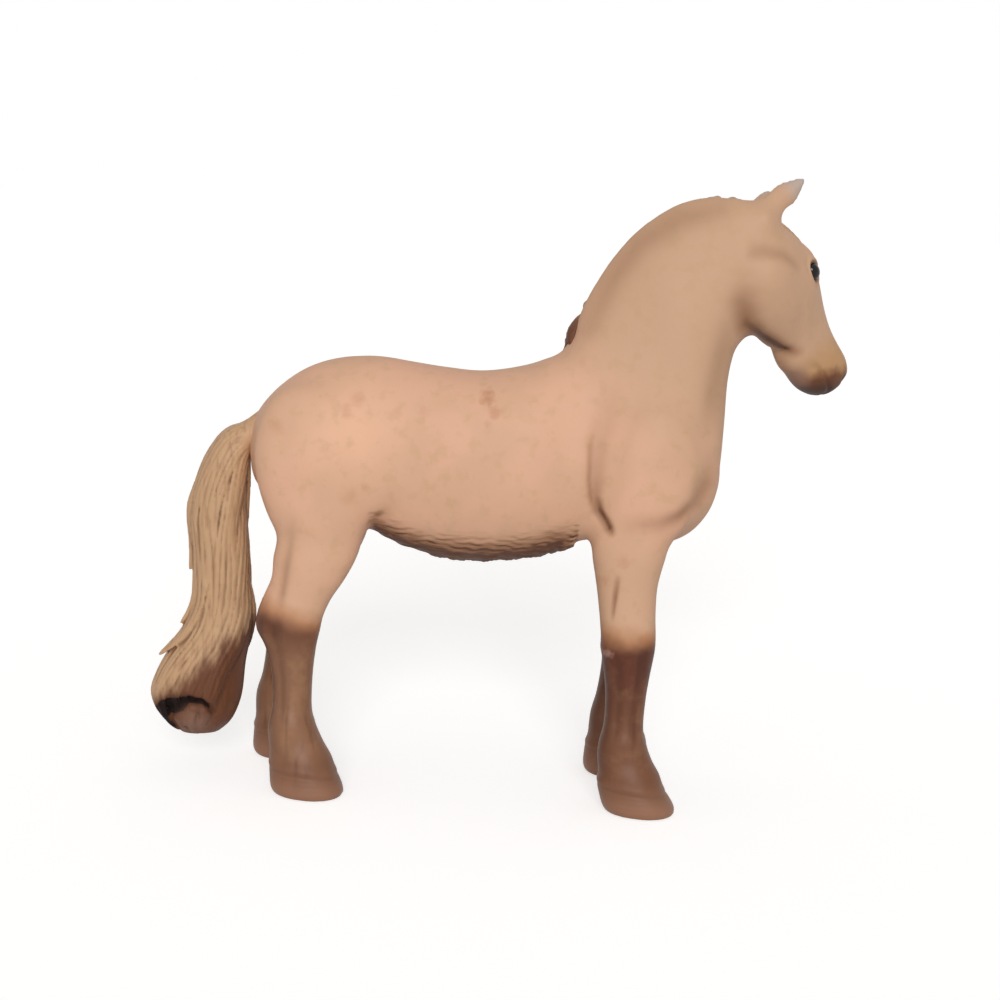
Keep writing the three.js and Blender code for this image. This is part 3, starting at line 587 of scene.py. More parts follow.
# %% Bumps and grooves
def bump(p, middle, radii, height, turn=0.0):
    """height * exp(-(u^2 + v^2)), with u and v the turned offsets over the two radii."""
    c, s = math.cos(turn), math.sin(turn)
    dx, dz = p[:, 0] - middle[0], p[:, 2] - middle[1]
    u, v = (c * dx + s * dz) / radii[0], (c * dz - s * dx) / radii[1]
    return height * bell(u, 0, 1) * bell(v, 0, 1)


def path_distance(p, path):
    """Distance in the side view to a path, and the place of the nearest point on it: 0 at
    the first point, 1 at the second and so on."""
    path = np.asarray(path, float)
    best, place = np.full(len(p), 1e9), np.zeros(len(p))
    for k, (a, b) in enumerate(zip(path[:-1], path[1:])):
        step = b - a
        t = np.clip(((p - a) @ step) / (step @ step), 0, 1)
        d = np.linalg.norm(p - a - t[:, None] * step, axis=1)
        place = np.where(d < best, k + t, place)
        best = np.minimum(best, d)
    return best, place


def either_side(q):
    """Points of the head's frame with those on the right side laid over to the left."""
    return np.stack([q[:, 0], np.abs(q[:, 1]), q[:, 2]], -1)


def knobs(q, rows):
    """The sum of height * exp(-r^2), with r the offset from each middle over its radii."""
    return sum(height * np.exp(-(((q - middle) / radii) ** 2).sum(1))
               for middle, radii, height in rows)


def groove(p, rows):
    """Rows are x, z, width, depth and painted shade. Returns -depth * exp(-(distance / width)^2),
    and the painted shade in the groove, a little wider than the groove itself."""
    rows = np.asarray(rows, float)
    distance, place = path_distance(p, rows[:, :2])
    width, depth, painted_shade = (np.interp(place, np.arange(len(rows)), rows[:, k]) for k in (2, 3, 4))
    return -depth * bell(distance, 0, width), painted_shade * bell(distance, 0, 1.15 * width)


beside = groove(np.array([[0, 0.0], [0, 1.0]]), [(-5, 0, 1, 1, 1), (5, 0, 1, 1, 1)])[0]
print("a groove 1 mm deep, in its middle and 1 mm beside it:", beside.round(2))

# %% Where the muscles and the folds lie
MUSCLES = [
    # middle, radii, height, turn
    ((74.4, 65), (7.5, 12), 0.95, 0), ((69.0, 62), (4.6, 7), 0.4, 0),
    ((75.2, 73), (2.4, 9), 0.35, 0.3), ((58.3, 67), (3.4, 10), -0.35, 0),
    ((31.5, 64), (5.5, 9), -0.45, 0.25), ((27, 75.5), (3.6, 3), 0.2, 0),
    ((17, 64), (9, 13), 0.5, 0), ((24.5, 56), (3.6, 5), 0.35, 0),
    ((13, 44.5), (3.6, 6), 0.3, 0), ((78, 92), (4.5, 11), 0.45, 0.5),
    ((74.5, 49.5), (3.4, 4.5), 0.3, 0), ((46, 62), (12, 12), 0.25, 0),
]
FOLDS = [
    # x, z, width, depth, painted shade; the shoulder's edge, running into the deep crease at the
    # elbow
    [(67.4, 80.5, 2.2, 0, 0), (65.6, 75.5, 2.0, 0.3, 0.15), (64.3, 69.5, 1.6, 0.45, 0.25),
     (64.1, 63.5, 1.4, 0.6, 0.32), (64.1, 59.4, 1.0, 0.9, 0.45), (65.1, 56.6, 0.85, 1.3, 0.92),
     (67.0, 53.9, 0.85, 1.1, 0.95), (68.1, 52.3, 0.6, 0, 0)],
    [(63.8, 73, 0.7, 0, 0), (63.0, 68.5, 0.6, 0.25, 0.42), (63.2, 62.5, 0.55, 0.3, 0.52),
     (63.8, 58.4, 0.5, 0, 0.6)],
    # the lower edge of the breast muscle
    [(67.8, 53.8, 2.0, 0, 0), (72.0, 54.4, 1.9, 0.4, 0.22), (76.4, 55.0, 1.6, 0.6, 0.36),
     (79.8, 56.7, 1.3, 0.7, 0.62), (82.7, 59.0, 1.5, 0.6, 0.62), (84.6, 62.8, 2.0, 0.4, 0.55),
     (85.6, 66.5, 1.9, 0.2, 0.2), (86.2, 69.5, 2.0, 0, 0)],
    # a shade below the crest
    [(61.4, 89, 1.8, 0, 0.25), (65.2, 98.0, 1.8, 0, 0.36), (69.8, 104.8, 2.0, 0, 0.4),
     (76.5, 109.8, 2.2, 0, 0.4), (84, 112, 2.0, 0, 0.25)],
    # in front of the hock's tendon
    [(9.8, 54, 1.3, 0, 0), (9.1, 49, 1.1, 0.4, 0.15), (8.4, 43.5, 1.0, 0.55, 0.35),
     (7.9, 38.5, 0.9, 0.55, 0.4), (7.5, 34.5, 0.9, 0, 0)],
    # down the ham, the flank and the throat
    [(9.2, 75, 2.6, 0, 0), (7.2, 66.5, 2.3, 0.3, 0), (7.8, 56, 2.2, 0, 0)],
    [(23.6, 51.6, 0.9, 0, 0.55), (25.0, 53.0, 1.0, 0.3, 0.22), (27.5, 55.5, 1.6, 0.2, 0.05),
     (29, 60, 2.0, 0, 0)],
    [(87.6, 94, 2.4, 0, 0.1), (86.6, 86, 2.2, 0.45, 0.3), (85.4, 78, 2.2, 0.45, 0.3),
     (84, 70, 2.4, 0, 0)],
]
# x, z, width, depth, painted shade: a groove down the throat, and painted shade under the jaw's lower
# edge
JAW = [(90.0, 99.5, 2.4, 0.1, 0.1), (89.2, 95.5, 2.4, 0.25, 0.6), (90.4, 91.6, 2.2, 0.3, 0.85),
       (93.6, 89.4, 1.2, 0, 0.95), (96.6, 87.8, 1.1, 0, 1.0), (98.8, 86.6, 1.0, 0, 1.0),
       (100.8, 86.2, 0.9, 0, 0.6), (103, 86.4, 0.9, 0, 0)]
EYE = np.array([0.325 * HEAD_LENGTH, 0.42 * HEAD_WIDTH, 0.22 * HEAD_DEPTH])
FACE = [
    # middle, radii, height in the head's frame; both sides of the head get each of them
    (EYE - [2.2, 0.9, -1.7], (3.0, 1.9, 1.6), 0.75), ((13.5, 5.6, 1.0), (3.2, 2.0, 0.9), 0.3),
    ((8.0, 6.5, -4.6), (4.2, 3.0, 4.2), 0.25),
    ((31.0, 1.5, -6.3), (2.6, 3.0, 1.8), 0.1), ((26.5, 1.5, -7.2), (2.0, 3.0, 1.8), 0.35),
    ((22.6, 0.0, -8.4), (1.1, 4.5, 1.8), -0.85), ((3.0, 3.0, 6.0), (3.2, 2.2, 1.6), -0.6),
]
FACE_FOLDS = [
    # round the cheek, with painted shade along it, the ridge below the eye and the hollow of the jaw
    [(0.6, -13, 1.6, 0, 0), (0.0, -10.4, 1.5, 0.1, 0.25), (0.2, -7.6, 1.3, 0.16, 0.28),
     (1.5, -4.9, 1.2, 0.2, 0.32), (4.3, -2.4, 1.1, 0.2, 0.34), (7.2, -1.1, 1.0, 0.2, 0.26),
     (9.4, 0.2, 0.8, 0, 0)],
    [(13.4, 0.6, 1.2, 0, 0), (16, -1.4, 1.4, -0.14, 0), (20, -2.4, 1.4, -0.12, 0),
     (24, -2.6, 1.4, 0, 0)],
    [(14, -3.2, 1.5, 0, 0), (18, -4.8, 1.5, 0.2, 0), (23, -5.6, 1.2, 0.15, 0),
     (26, -5.8, 1.0, 0, 0)],
]
print("muscles:", len(MUSCLES), "folds:", len(FOLDS) + len(FACE_FOLDS) + 1)

# %% Muscles and folds on the skin
normals = normals_of(points, [squares])
sideways = np.clip(np.abs(normals[:, 1]) * 1.25 - 0.1, 0, 1)
flank = sideways * ramp(points[:, 0], 91.6, 90)
# Each fold also paints shade into its groove, darker than the coat; the values are kept at every
# point for the paint.
move, hollow_shade = flank * sum(bump(points, *row) for row in MUSCLES), np.zeros(len(points))
for rows in FOLDS:
    depth, painted_shade = groove(points[:, [0, 2]], rows)
    move += flank * depth
    hollow_shade = np.maximum(hollow_shade, painted_shade * flank)
depth, painted_shade = groove(points[:, [0, 2]], JAW)
throat = ramp(np.abs(points[:, 1] - 1.5), 0.5, 2.0)
move, hollow_shade = move + depth * sideways * throat, np.maximum(hollow_shade, painted_shade)
q = placed(points, INTO_HEAD)
on_face = ramp(points[:, 0], 88, 91) * ramp(q[:, 2], 7.5, 6.5)
move += on_face * knobs(either_side(q), FACE)
cheek = on_face * ramp(np.abs(q[:, 1]), 1.5, 3.0)
for rows in FACE_FOLDS:
    depth, painted_shade = groove(q[:, [0, 2]], rows)
    move += depth * cheek
    hollow_shade = np.maximum(hollow_shade, painted_shade * cheek)
print("deepest fold, mm:", round(float(-move.min()), 2))

# %% The hair of the belly
def above_belly(points):
    """How high a point is over the lower outline of the trunk."""
    return points[:, 2] - np.interp(points[:, 0], belly_line[:, 0], belly_line[:, 1])


x, y, z = points.T
belly = ramp(above_belly(points), 7.8, -0.4) * between(x, 22, 25, 61.4, 62.8) * ramp(z, 40, 43)
waves = np.sin(2 * np.pi * (z * 0.84 + 0.06 * x + 0.22 * np.sin(0.55 * x + 0.4 * z + 0.3 * y)
                            + 0.16 * np.sin(1.7 * x + y)))
patches = 0.5 + 0.5 * np.sin(0.9 * x + 1.3 * np.sin(0.7 * z) + 0.5 * y)
ridges = 0.13 * waves * (0.35 + 0.65 * patches) * belly
under = ramp(normals[:, 2], -0.3, -0.9) * belly * bell(y, 0, 7.0)
tufts = 0.5 + 0.45 * ramp(x, 49, 58)
tufts += 0.08 * np.sin(1.3 * x) + 0.07 * np.sin(3.1 * x + 1.0) + 0.05 * np.sin(7.1 * x)
fringe = under * between(x, 33.5, 35.5, 61.0, 61.6) * tufts
points = points + normals * (move + fringe + ridges)[:, None]
print("belly hair on", int((belly > 0.1).sum()), "points")

# %% [markdown]
# ## Parting the mouldings
# The body, the head and the four legs leave the moulds apart. A bisect cuts the skin along a
# level plane through each leg, and along a leaning one that passes behind the ears and behind
# the cheeks. The parts keep the very same edge, so the seam stays a hairline, as on the toy.

# %% Cut along the seams
HEAD_SEAM = np.array([0.9664, 0.0, 0.2571])
SEAM_LEVEL = 111.6


def past_seam(points):
    """How far in front of the seam between neck and head a point is: 0.9664 x + 0.2571 z
    less the level."""
    return np.asarray(points) @ HEAD_SEAM - SEAM_LEVEL


def cut(bm, normal, level, inside):
    """Cut the faces whose middle passes the test along the plane point * normal = level."""
    faces = [f for f in bm.faces if inside(f.calc_center_median())]
    geometry = list({v for f in faces for v in f.verts} | {e for f in faces for e in f.edges})
    bmesh.ops.bisect_plane(bm, geom=geometry + faces, dist=1e-4,
                           plane_co=[level * n for n in normal], plane_no=normal)


skin = bpy.data.meshes.new("skin")
skin.from_pydata(points.tolist(), [], squares.tolist())
layer = skin.attributes.new("hollow_shade", "FLOAT", "POINT")
layer.data.foreach_set("value", hollow_shade.astype(np.float32))
bm = bmesh.new()
bm.from_mesh(skin)
NEAR = 2.0  # faces this close to a plane are cut
cut(bm, (0, 0, 1), FORE_CUT, lambda c: c.x > FORE_FROM and abs(c.z - FORE_CUT) < NEAR)
cut(bm, (0, 0, 1), HIND_CUT, lambda c: c.x < HIND_TO and abs(c.z - HIND_CUT) < NEAR)
cut(bm, HEAD_SEAM.tolist(), SEAM_LEVEL, lambda c: abs(past_seam(c)) < NEAR)
bmesh.ops.triangulate(bm, faces=[f for f in bm.faces if len(f.verts) != 4])
bm.to_mesh(skin)
bm.free()
print("skin after the cuts:", len(skin.vertices), "points")

# %% Sort the faces by part
def mesh_arrays(mesh):
    """Points, and the squares and the triangles of a mesh as index arrays."""
    spots = np.empty(len(mesh.vertices) * 3)
    mesh.vertices.foreach_get("co", spots)
    corners = np.empty(len(mesh.loops), np.int64)
    mesh.loops.foreach_get("vertex_index", corners)
    start = np.empty(len(mesh.polygons), np.int64)
    total = np.empty(len(mesh.polygons), np.int64)
    mesh.polygons.foreach_get("loop_start", start)
    mesh.polygons.foreach_get("loop_total", total)
    faces = [corners[start[total == n][:, None] + np.arange(n)] for n in (4, 3)]
    return spots.reshape(-1, 3), faces


points, faces = mesh_arrays(skin)
hollow_shade = np.empty(len(points))
skin.attributes["hollow_shade"].data.foreach_get("value", hollow_shade)
bpy.data.meshes.remove(skin)


def part_name(middles):
    """The part that each face belongs to, from the place of its middle."""
    x, y, z = middles.T
    name = np.full(len(middles), "body", dtype="<U14")
    name[past_seam(middles) > 0] = "head"
    ends = {"fore": (x > FORE_FROM) & (z < FORE_CUT), "hind": (x < HIND_TO) & (z < HIND_CUT)}
    for end, there in ends.items():
        name[there & (y < 0)] = f"{end}_leg_right"
        name[there & (y > 0)] = f"{end}_leg_left"
    return name


names = [part_name(points[f].mean(1)) for f in faces]


def taken(part):
    """The points, faces and painted shade values of one part, numbered from 0."""
    mine = [f[n == part] for f, n in zip(faces, names)]
    used = np.unique(np.concatenate([f.ravel() for f in mine]))
    number = np.full(len(points), -1)
    number[used] = np.arange(len(used))
    return points[used], [number[f] for f in mine], hollow_shade[used]


for part in ("body", "head", *LEGS):
    print(part, "has", len(taken(part)[0]), "points")

# %% [markdown]
# ## Finer parts and their rims
# The head and the legs carry finer work than the body, so each of their faces is cut in four.
# A cut rim is then closed by a flat cap, a fan to its middle, and the rim's edges are marked
# sharp so that the cap doesn't tilt the light on the skin.

# %% Finer faces
def finer(points, faces, values):
    """A new point in the middle of every edge and face: each face becomes one square for
    each of its corners."""
    edges, _ = edges_of(faces)
    size = len(points) + 1
    keys = edges[:, 0] * size + edges[:, 1]
    mids = points[edges].mean(1)
    base = len(points) + len(edges)
    squares, hearts, heart_values = [], [], []
    for f in faces:
        if not len(f):
            continue
        n = f.shape[1]
        after = np.sort(np.stack([f, np.roll(f, -1, 1)], -1), -1)
        mid = len(points) + np.searchsorted(keys, after[..., 0] * size + after[..., 1])
        heart = base + np.arange(len(f))
        base += len(f)
        for k in range(n):
            squares.append(np.stack([f[:, k], mid[:, k], heart, mid[:, k - 1]], -1))
        hearts.append(points[f].mean(1))
        heart_values.append(values[f].mean(1))
    all_points = np.vstack([points, mids, *hearts])
    return all_points, [np.vstack(squares)], np.concatenate(
        [values, values[edges].mean(1), *heart_values])


one_square = [np.array([[0, 1, 2, 3]])]
print("one square becomes", len(finer(np.eye(4, 3), one_square, np.zeros(4))[1][0]))

# %% Rims and caps
def rim_points(faces):
    """The points on edges that only one face has."""
    edges, count = edges_of([f for f in faces if len(f)])
    return np.unique(edges[count == 1])


def capped(points, faces, groups):
    """Each group of rim points gets a fan to its middle, over the edges that no second face
    walks the other way. Returns the fans' triangles."""
    pairs, size = walks(faces), len(points)
    there, back = pairs[:, 0] * size + pairs[:, 1], pairs[:, 1] * size + pairs[:, 0]
    lone = pairs[~np.isin(back, there)]
    fans = []
    for k, group in enumerate(groups):
        mine = lone[np.isin(lone, group).all(1)]
        fans.append(np.column_stack([mine[:, ::-1], np.full(len(mine), size + k)]))
    return np.vstack([points, *[points[group].mean(0) for group in groups]]), np.vstack(fans)


print("the rim of one square:", rim_points(one_square))

# %% A finished piece
def finish_piece(name, points, faces, material, nodes=(), values=None, sharp=()):
    """A finished object at the origin, with its place in its mesh."""
    mesh = bpy.data.meshes.new(name)
    mesh.from_pydata(to_frame(points).tolist(), [], sum((f.tolist() for f in faces), []))
    mesh.polygons.foreach_set("use_smooth", np.ones(len(mesh.polygons), bool))
    for label, value in (values or {}).items():
        layer = mesh.attributes.new(label, "FLOAT", "POINT")
        layer.data.foreach_set("value", np.asarray(value, np.float32))
    if len(sharp):
        on_rim = np.zeros(len(points), bool)
        on_rim[sharp] = True
        ends = np.empty(len(mesh.edges) * 2, np.int64)
        mesh.edges.foreach_get("vertices", ends)
        layer = mesh.attributes.new("sharp_edge", "BOOLEAN", "EDGE")
        layer.data.foreach_set("value", on_rim[ends.reshape(-1, 2)].all(1))
    mesh.materials.append(material)
    piece = bpy.data.objects.new(name, mesh)
    bpy.context.collection.objects.link(piece)
    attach(piece, "root")
    if nodes:
        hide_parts(*nodes)
    print(name, "has", len(mesh.vertices), "points")
    return piece

# %% [markdown]
# ## Paint as arithmetic
# A paint is a little sum of masks: tan everywhere, brown where the height is small, darker
# where the skin is hollow, which is painted shade. Written as Python expressions the sum stays
# readable. The class wraps a socket, so that 1 - mask or a * b adds the Math node that does it.

# %% Numbers in a shader
class Value:
    """A number in a shader that Python's operators work on."""

    def __init__(self, paint, socket):
        self.paint = paint
        self.socket = socket

    def math(self, kind, a, b):
        return self.paint.node("ShaderNodeMath", {"operation": kind}, {0: a, 1: b})

    def __add__(self, other):
        return self.math("ADD", self, other)

    def __sub__(self, other):
        return self.math("SUBTRACT", self, other)

    def __rsub__(self, other):
        return self.math("SUBTRACT", other, self)

    def __mul__(self, other):
        return self.math("MULTIPLY", self, other)

    def largest(self, other):
        return self.math("MAXIMUM", self, other)

    __radd__ = __add__
    __rmul__ = __mul__

# %% Nodes from one method
class Tree:
    """A tree of nodes, of a paint or of the sky."""

    def __init__(self, tree):
        self.tree = tree

    def feed(self, socket, value):
        """A link where the value is worked out by nodes, or else the value itself."""
        if isinstance(value, Value):
            self.tree.links.new(value.socket, socket)
        else:
            socket.default_value = value

    def node(self, kind, settings, inputs, output=0):
        """Any node: settings first, then a value or a link for each named input."""
        made = self.tree.nodes.new(kind)
        for key, value in settings.items():
            setattr(made, key, value)
        for key, value in inputs.items():
            self.feed(made.inputs[key], value)
        return Value(self, made.outputs[output])

    def seen(self):
        """1 for the rays of the camera, of mirrors and of glass, and 0 for those of light."""
        camera, glossy, clear = (self.node("ShaderNodeLightPath", {}, {}, f"Is {kind} Ray")
                                 for kind in ("Camera", "Glossy", "Transmission"))
        return camera.largest(glossy).largest(clear)

# %% Masks and coats of paint
class Paint(Tree):
    """One material: its nodes, its place on the figure and the masks that paints share."""

    def __init__(self, name):
        self.material = bpy.data.materials.new(name)
        self.material.use_nodes = True
        super().__init__(self.material.node_tree)
        self.shader = self.tree.nodes["Principled BSDF"]
        self.place = self.node("ShaderNodeTexCoord", {}, {}, "Object")
        split = self.node("ShaderNodeSeparateXYZ", {}, {0: self.place}).socket.node
        self.x, self.y, self.z = (Value(self, split.outputs[k]) for k in range(3))
        self.shader.inputs["Specular IOR Level"].default_value = 0.28

    def ramp(self, value, low, high):
        """0 at low, 1 at high, eased between. low may be the larger one."""
        return self.node("ShaderNodeMapRange", {"interpolation_type": "SMOOTHSTEP"},
                         {"Value": value, "From Min": low, "From Max": high})

    def noise(self, size, detail=3.0, stretch=(1, 1, 1)):
        """Soft noise whose blotches are this many millimetres across."""
        place = self.node("ShaderNodeVectorMath", {"operation": "MULTIPLY"},
                          {0: self.place, 1: stretch})
        return self.node("ShaderNodeTexNoise", {},
                         {"Vector": place, "Scale": 1000 / size, "Detail": detail}, "Fac")

    def mix(self, below, above, mask):
        """Colour above over colour below, by the mask."""
        return self.node("ShaderNodeMix", {"data_type": "RGBA"}, {0: mask, 6: below, 7: above}, 2)

    def coats(self, colour, *rows):
        """Colours sprayed over each other in this order, each with its mask."""
        for above, mask in rows:
            colour = self.mix(colour, above, mask)
        return colour

    def spot(self, x, z, radius, blur=0.0):
        """1 at a point of the side view, in millimetres, and 0 past the radius. blur is
        added to the distance, in metres."""
        flat = self.node("ShaderNodeVectorMath", {"operation": "MULTIPLY"},
                         {0: self.place, 1: (1, 0, 1)})
        x, _, z = (float(v) for v in to_frame((x, 0, z)))
        far = self.node("ShaderNodeVectorMath", {"operation": "DISTANCE"},
                        {0: flat, 1: (x, 0, z)}, "Value")
        return self.ramp(far + blur, radius / 1000, 0.0)

    def layer(self, label):
        """A number that the mesh carries at its points."""
        return self.node("ShaderNodeAttribute", {"attribute_name": label}, {}, "Fac")

    def done(self, colour, roughness, height=None, depth=0.05):
        """Link the sums to the plastic. height is in shares of depth, in millimetres."""
        self.feed(self.shader.inputs["Base Color"], colour)
        self.feed(self.shader.inputs["Roughness"], roughness)
        if height is not None:
            bumps = {"Height": height, "Distance": depth / 1000, "Strength": 1.0}
            self.feed(self.shader.inputs["Normal"], self.node("ShaderNodeBump", {}, bumps, "Normal"))
        return self.material

# %% Colours
def rgb(red, green, blue):
    """A colour as painters mix it on screen, 0 to 255, turned into light."""
    share = [v / 255 for v in (red, green, blue)]
    return (*[v / 12.92 if v <= 0.04045 else ((v + 0.055) / 1.055) ** 2.4 for v in share], 1.0)


print("middle grey as light:", round(rgb(128, 128, 128)[0], 3))

# %% [markdown]
# ## The coat
# Peach tan with soft blotches, a painted light on the thigh and painted shade as a darker, greyer
# neck and head, brown painted shade in the folds, a few rubbed brown specks, brown stockings that
# were sprayed on and so fade over four millimetres, and a dark band along the belly where the hair
# is sculpted in, brown paint there and painted shade where the skin faces down.

# %% Coat
TAN = rgb(215, 170, 139)
PINK = rgb(223, 174, 144)
# a lighter tan, painted light on the thigh
THIGH_LIGHT_TAN = rgb(233, 183, 150)
# a darker, greyer tan, painted shade on the neck, the head and the forearm
FAWN_SHADE = rgb(203, 162, 131)
OLIVE = rgb(190, 156, 114)
# brown painted shade in folds and hollows
HOLLOW_SHADE_BROWN = rgb(120, 74, 42)
BROWN = rgb(90, 46, 28)
# a lighter brown, painted highlight lower down the stockings
CHESTNUT_HIGHLIGHT = rgb(131, 88, 62)
RUST = rgb(118, 74, 48)
DARK = rgb(54, 28, 18)
HORN = rgb(154, 112, 88)
print("tan as light:", [round(v, 3) for v in TAN[:3]])


def coat(paint):
    """Tan with a blush in wide blotches, a painted light on the thigh, painted shade as a darker,
    greyer tone on the neck, the head and the forearm, yellower in small blotches and brown to dark
    painted shade in the folds."""
    # Painted light: a lighter tan on the thigh. Painted shade: a darker, greyer tan on the neck, the
    # head and the forearm.
    thigh_light = paint.spot(20, 68, 13)
    neck_shade = paint.ramp(paint.z + paint.x * 0.5, 0.078, 0.1) * paint.ramp(paint.x, 0.006, 0.02)
    forearm_shade = paint.ramp(paint.x, 0.0, 0.012) * paint.ramp(paint.z, 0.056, 0.044)
    wide, fine = paint.noise(13, 2.5), paint.noise(2.6, 4.0)
    hollow_shade = paint.layer("hollow_shade")
    return paint.coats(
        TAN, (PINK, paint.ramp(wide, 0.4, 0.62)), (THIGH_LIGHT_TAN, thigh_light * 0.8),
        (FAWN_SHADE, neck_shade.largest(forearm_shade * 0.7)), (OLIVE, paint.ramp(fine, 0.5, 0.72) * 0.3),
        # painted shade in the folds and hollows: brown, and dark in the deepest
        (HOLLOW_SHADE_BROWN, hollow_shade * 0.9), (DARK, paint.ramp(hollow_shade, 0.72, 1.0) * 0.65))


def right_marks(paint, rows):
    """The union of small patches, as x, z, radius and share, on the right side only: worn specks, and
    a painted highlight on the knob behind the knee.
    """
    blur = (paint.noise(1.6, 4.0) - 0.5) * 0.003
    marks = 0.0
    for x, z, size, share in rows:
        mark = paint.spot(x, z, size, blur) * share
        marks = mark.largest(marks)
    return marks * paint.ramp(paint.y, -0.004, -0.006)


def plastic_relief(paint):
    """The faint orange peel of sprayed plastic."""
    return paint.noise(0.9, 2.0) * 0.6 + paint.noise(3.5, 2.0) * 0.4

# %% Paint of the body
SPECKS = (
    # x, z, radius, share
    (43.8, 76.1, 1.9, 1.0), (45.2, 74.0, 1.6, 0.6), (44.0, 71.6, 1.2, 0.3),
    (20.3, 74.7, 2.3, 0.4), (18.4, 72.6, 1.9, 0.45), (32.3, 73.3, 1.7, 0.25),
    (19.9, 57.4, 2.8, 0.35), (27.4, 72.9, 1.4, 0.3), (5.9, 68.9, 2.4, 0.35),
    (22.6, 58.8, 1.6, 0.25), (70.0, 48.4, 1.8, 0.4))


def body_paint():
    """The coat with its specks, and the belly in three browns, each darker and smaller: brown paint
    over the sculpted hair, and painted shade where the skin faces down.
    """
    paint = Paint("coat on the body")
    belly = paint.layer("belly")
    hair = paint.noise(1.1, 4.0, (0.3, 1, 1.7))
    soft = paint.ramp(belly + (hair - 0.5) * 1.3, 0.1, 0.75) * paint.ramp(belly, 0.0, 0.12)
    hard = paint.ramp(belly + (hair - 0.5) * 0.8, 0.66, 0.98)
    colour = paint.coats(
        coat(paint), (rgb(178, 112, 74), right_marks(paint, SPECKS) * 0.6),
        # the belly's browns: paint over the sculpted hair, and painted shade where the skin faces
        # down
        (rgb(158, 114, 82), belly * 0.7), (rgb(132, 88, 58), soft * 0.62),
        (rgb(88, 52, 34), hard * 0.92))
    relief = plastic_relief(paint) * (1 - belly) + hair * belly * 3
    return paint.done(colour, 0.56 + paint.noise(6) * 0.1, relief)


coat_on_body = body_paint()
print("nodes in the body's paint:", len(coat_on_body.node_tree.nodes))

# %% Paint of the legs
SMUDGES = ((67.1, 44.2, 2.0, 0.5), (70.0, 47.4, 1.8, 0.4), (75.4, 34.0, 2.2, 0.5))
# a paler pink spot: painted highlight on the knob behind the knee
KNEE_KNOB_HIGHLIGHT = ((68.4, 30.5, 1.3, 1.0),)


def leg_paint():
    """The coat above a blurred line, with rust at the line, and brown stockings below it that
    are patchy, streaked and paler behind and on the hooves, lighter lower down as a painted
    highlight and darker in the hollows as painted shade, with a painted highlight on the knob
    behind the knee."""
    paint = Paint("coat and stockings on the legs")
    z = paint.z
    rear = paint.ramp(paint.x, 0.01, -0.01)
    line = z + (paint.noise(5, 2.0) - 0.5) * 0.003 + (paint.x + 0.036) * rear * 0.35
    stocking = paint.ramp(line, 0.035, 0.0306)
    patchy = paint.ramp(paint.noise(3.2, 4.0), 0.42, 0.72)
    pale = (rear * 0.65 + patchy * 0.3) * paint.ramp(z, 0.036, 0.024) * paint.ramp(z, 0.002, 0.012)
    streaks = paint.ramp(paint.noise(2.6, 2.0, (1, 1, 0.12)), 0.52, 0.72)
    hoof = paint.ramp(z, 0.0072, 0.0045) * (0.3 + paint.ramp(z, 0.005, 0.001) * 0.55)
    # Lighter chestnut lower down is a painted highlight; dark over the hollows is painted shade,
    # beside the paint's own dark streaks.
    brown = paint.coats(
        BROWN, (CHESTNUT_HIGHLIGHT, paint.ramp(z, 0.03, 0.012) * 0.6), (rgb(152, 110, 82), pale),
        (DARK, (paint.layer("hollow_shade") * 0.7).largest(streaks * 0.4)), (HORN, hoof))
    colour = paint.coats(
        coat(paint), (rgb(176, 116, 76), right_marks(paint, SMUDGES) * 0.6),
        (rgb(172, 114, 72), paint.ramp(line, 0.0372, 0.0332) * 0.75), (brown, stocking),
        # painted highlight on the knob behind the knee
        (rgb(190, 146, 132), right_marks(paint, KNEE_KNOB_HIGHLIGHT) * 0.7))
    return paint.done(colour, 0.56 - stocking * 0.12 + paint.noise(5) * 0.08,
                      plastic_relief(paint))


coat_on_legs = leg_paint()
print("nodes in the legs' paint:", len(coat_on_legs.node_tree.nodes))

# %% [markdown]
# ## The body
# The body needs no more shape, only its rims closed. It carries two painting guides at its
# points: how much painted shade lies in its folds, and how near the belly line the skin is,
# raised where the skin faces down so that shade is painted there too.

# %% Body piece
spots, sides, part_shade = taken("body")
rim = rim_points(sides)
hole = 1 + (spots[rim, 0] > (FORE_FROM + HIND_TO) / 2) + 2 * (spots[rim, 1] > 0)  # a leg's
hole[past_seam(spots[rim]) > -1] = 0  # the neck's
rim_groups = [rim[hole == k] for k in range(5)]
x, _, z = spots.T
# painted shade on the underside: stronger where the skin faces down
under = 0.95 * ramp(normals_of(spots, sides)[:, 2], -0.4, -0.8) * ramp(z, 60, 56)
belly = np.maximum(ramp(above_belly(spots), 7.5, 0.9) * ramp(x, 62.4, 58.5), under)
belly *= between(x, 22.5, 24.5, 61.4, 62.2)
spots, fans = capped(spots, sides, rim_groups)
extra = len(rim_groups)
finish_piece("body", spots, [*sides, fans], coat_on_body,
             ("body_right_half", "body_left_half"),
             {"hollow_shade": np.append(part_shade, np.zeros(extra)),
              "belly": np.append(belly, np.zeros(extra))}, rim)

# %% [markdown]
# ## The legs
# Knees, tendons, fetlocks and the ledge above the hoof are small and crisp, so they are drawn
# on the finer skin. All of them fade out towards the cut, where the edge has to stay as it is.

# %% Relief of a leg
# x, z, width, depth, painted shade of the fold on the forearm
FOREARM_FOLD = [(69.2, 46, 0.6, 0, 0), (69.1, 44.2, 0.5, 0.3, 0.45), (68.9, 41.5, 0.45, 0.42, 0.7),
                (68.7, 38.6, 0.4, 0.25, 0.5), (68.6, 36.6, 0.4, 0, 0)]


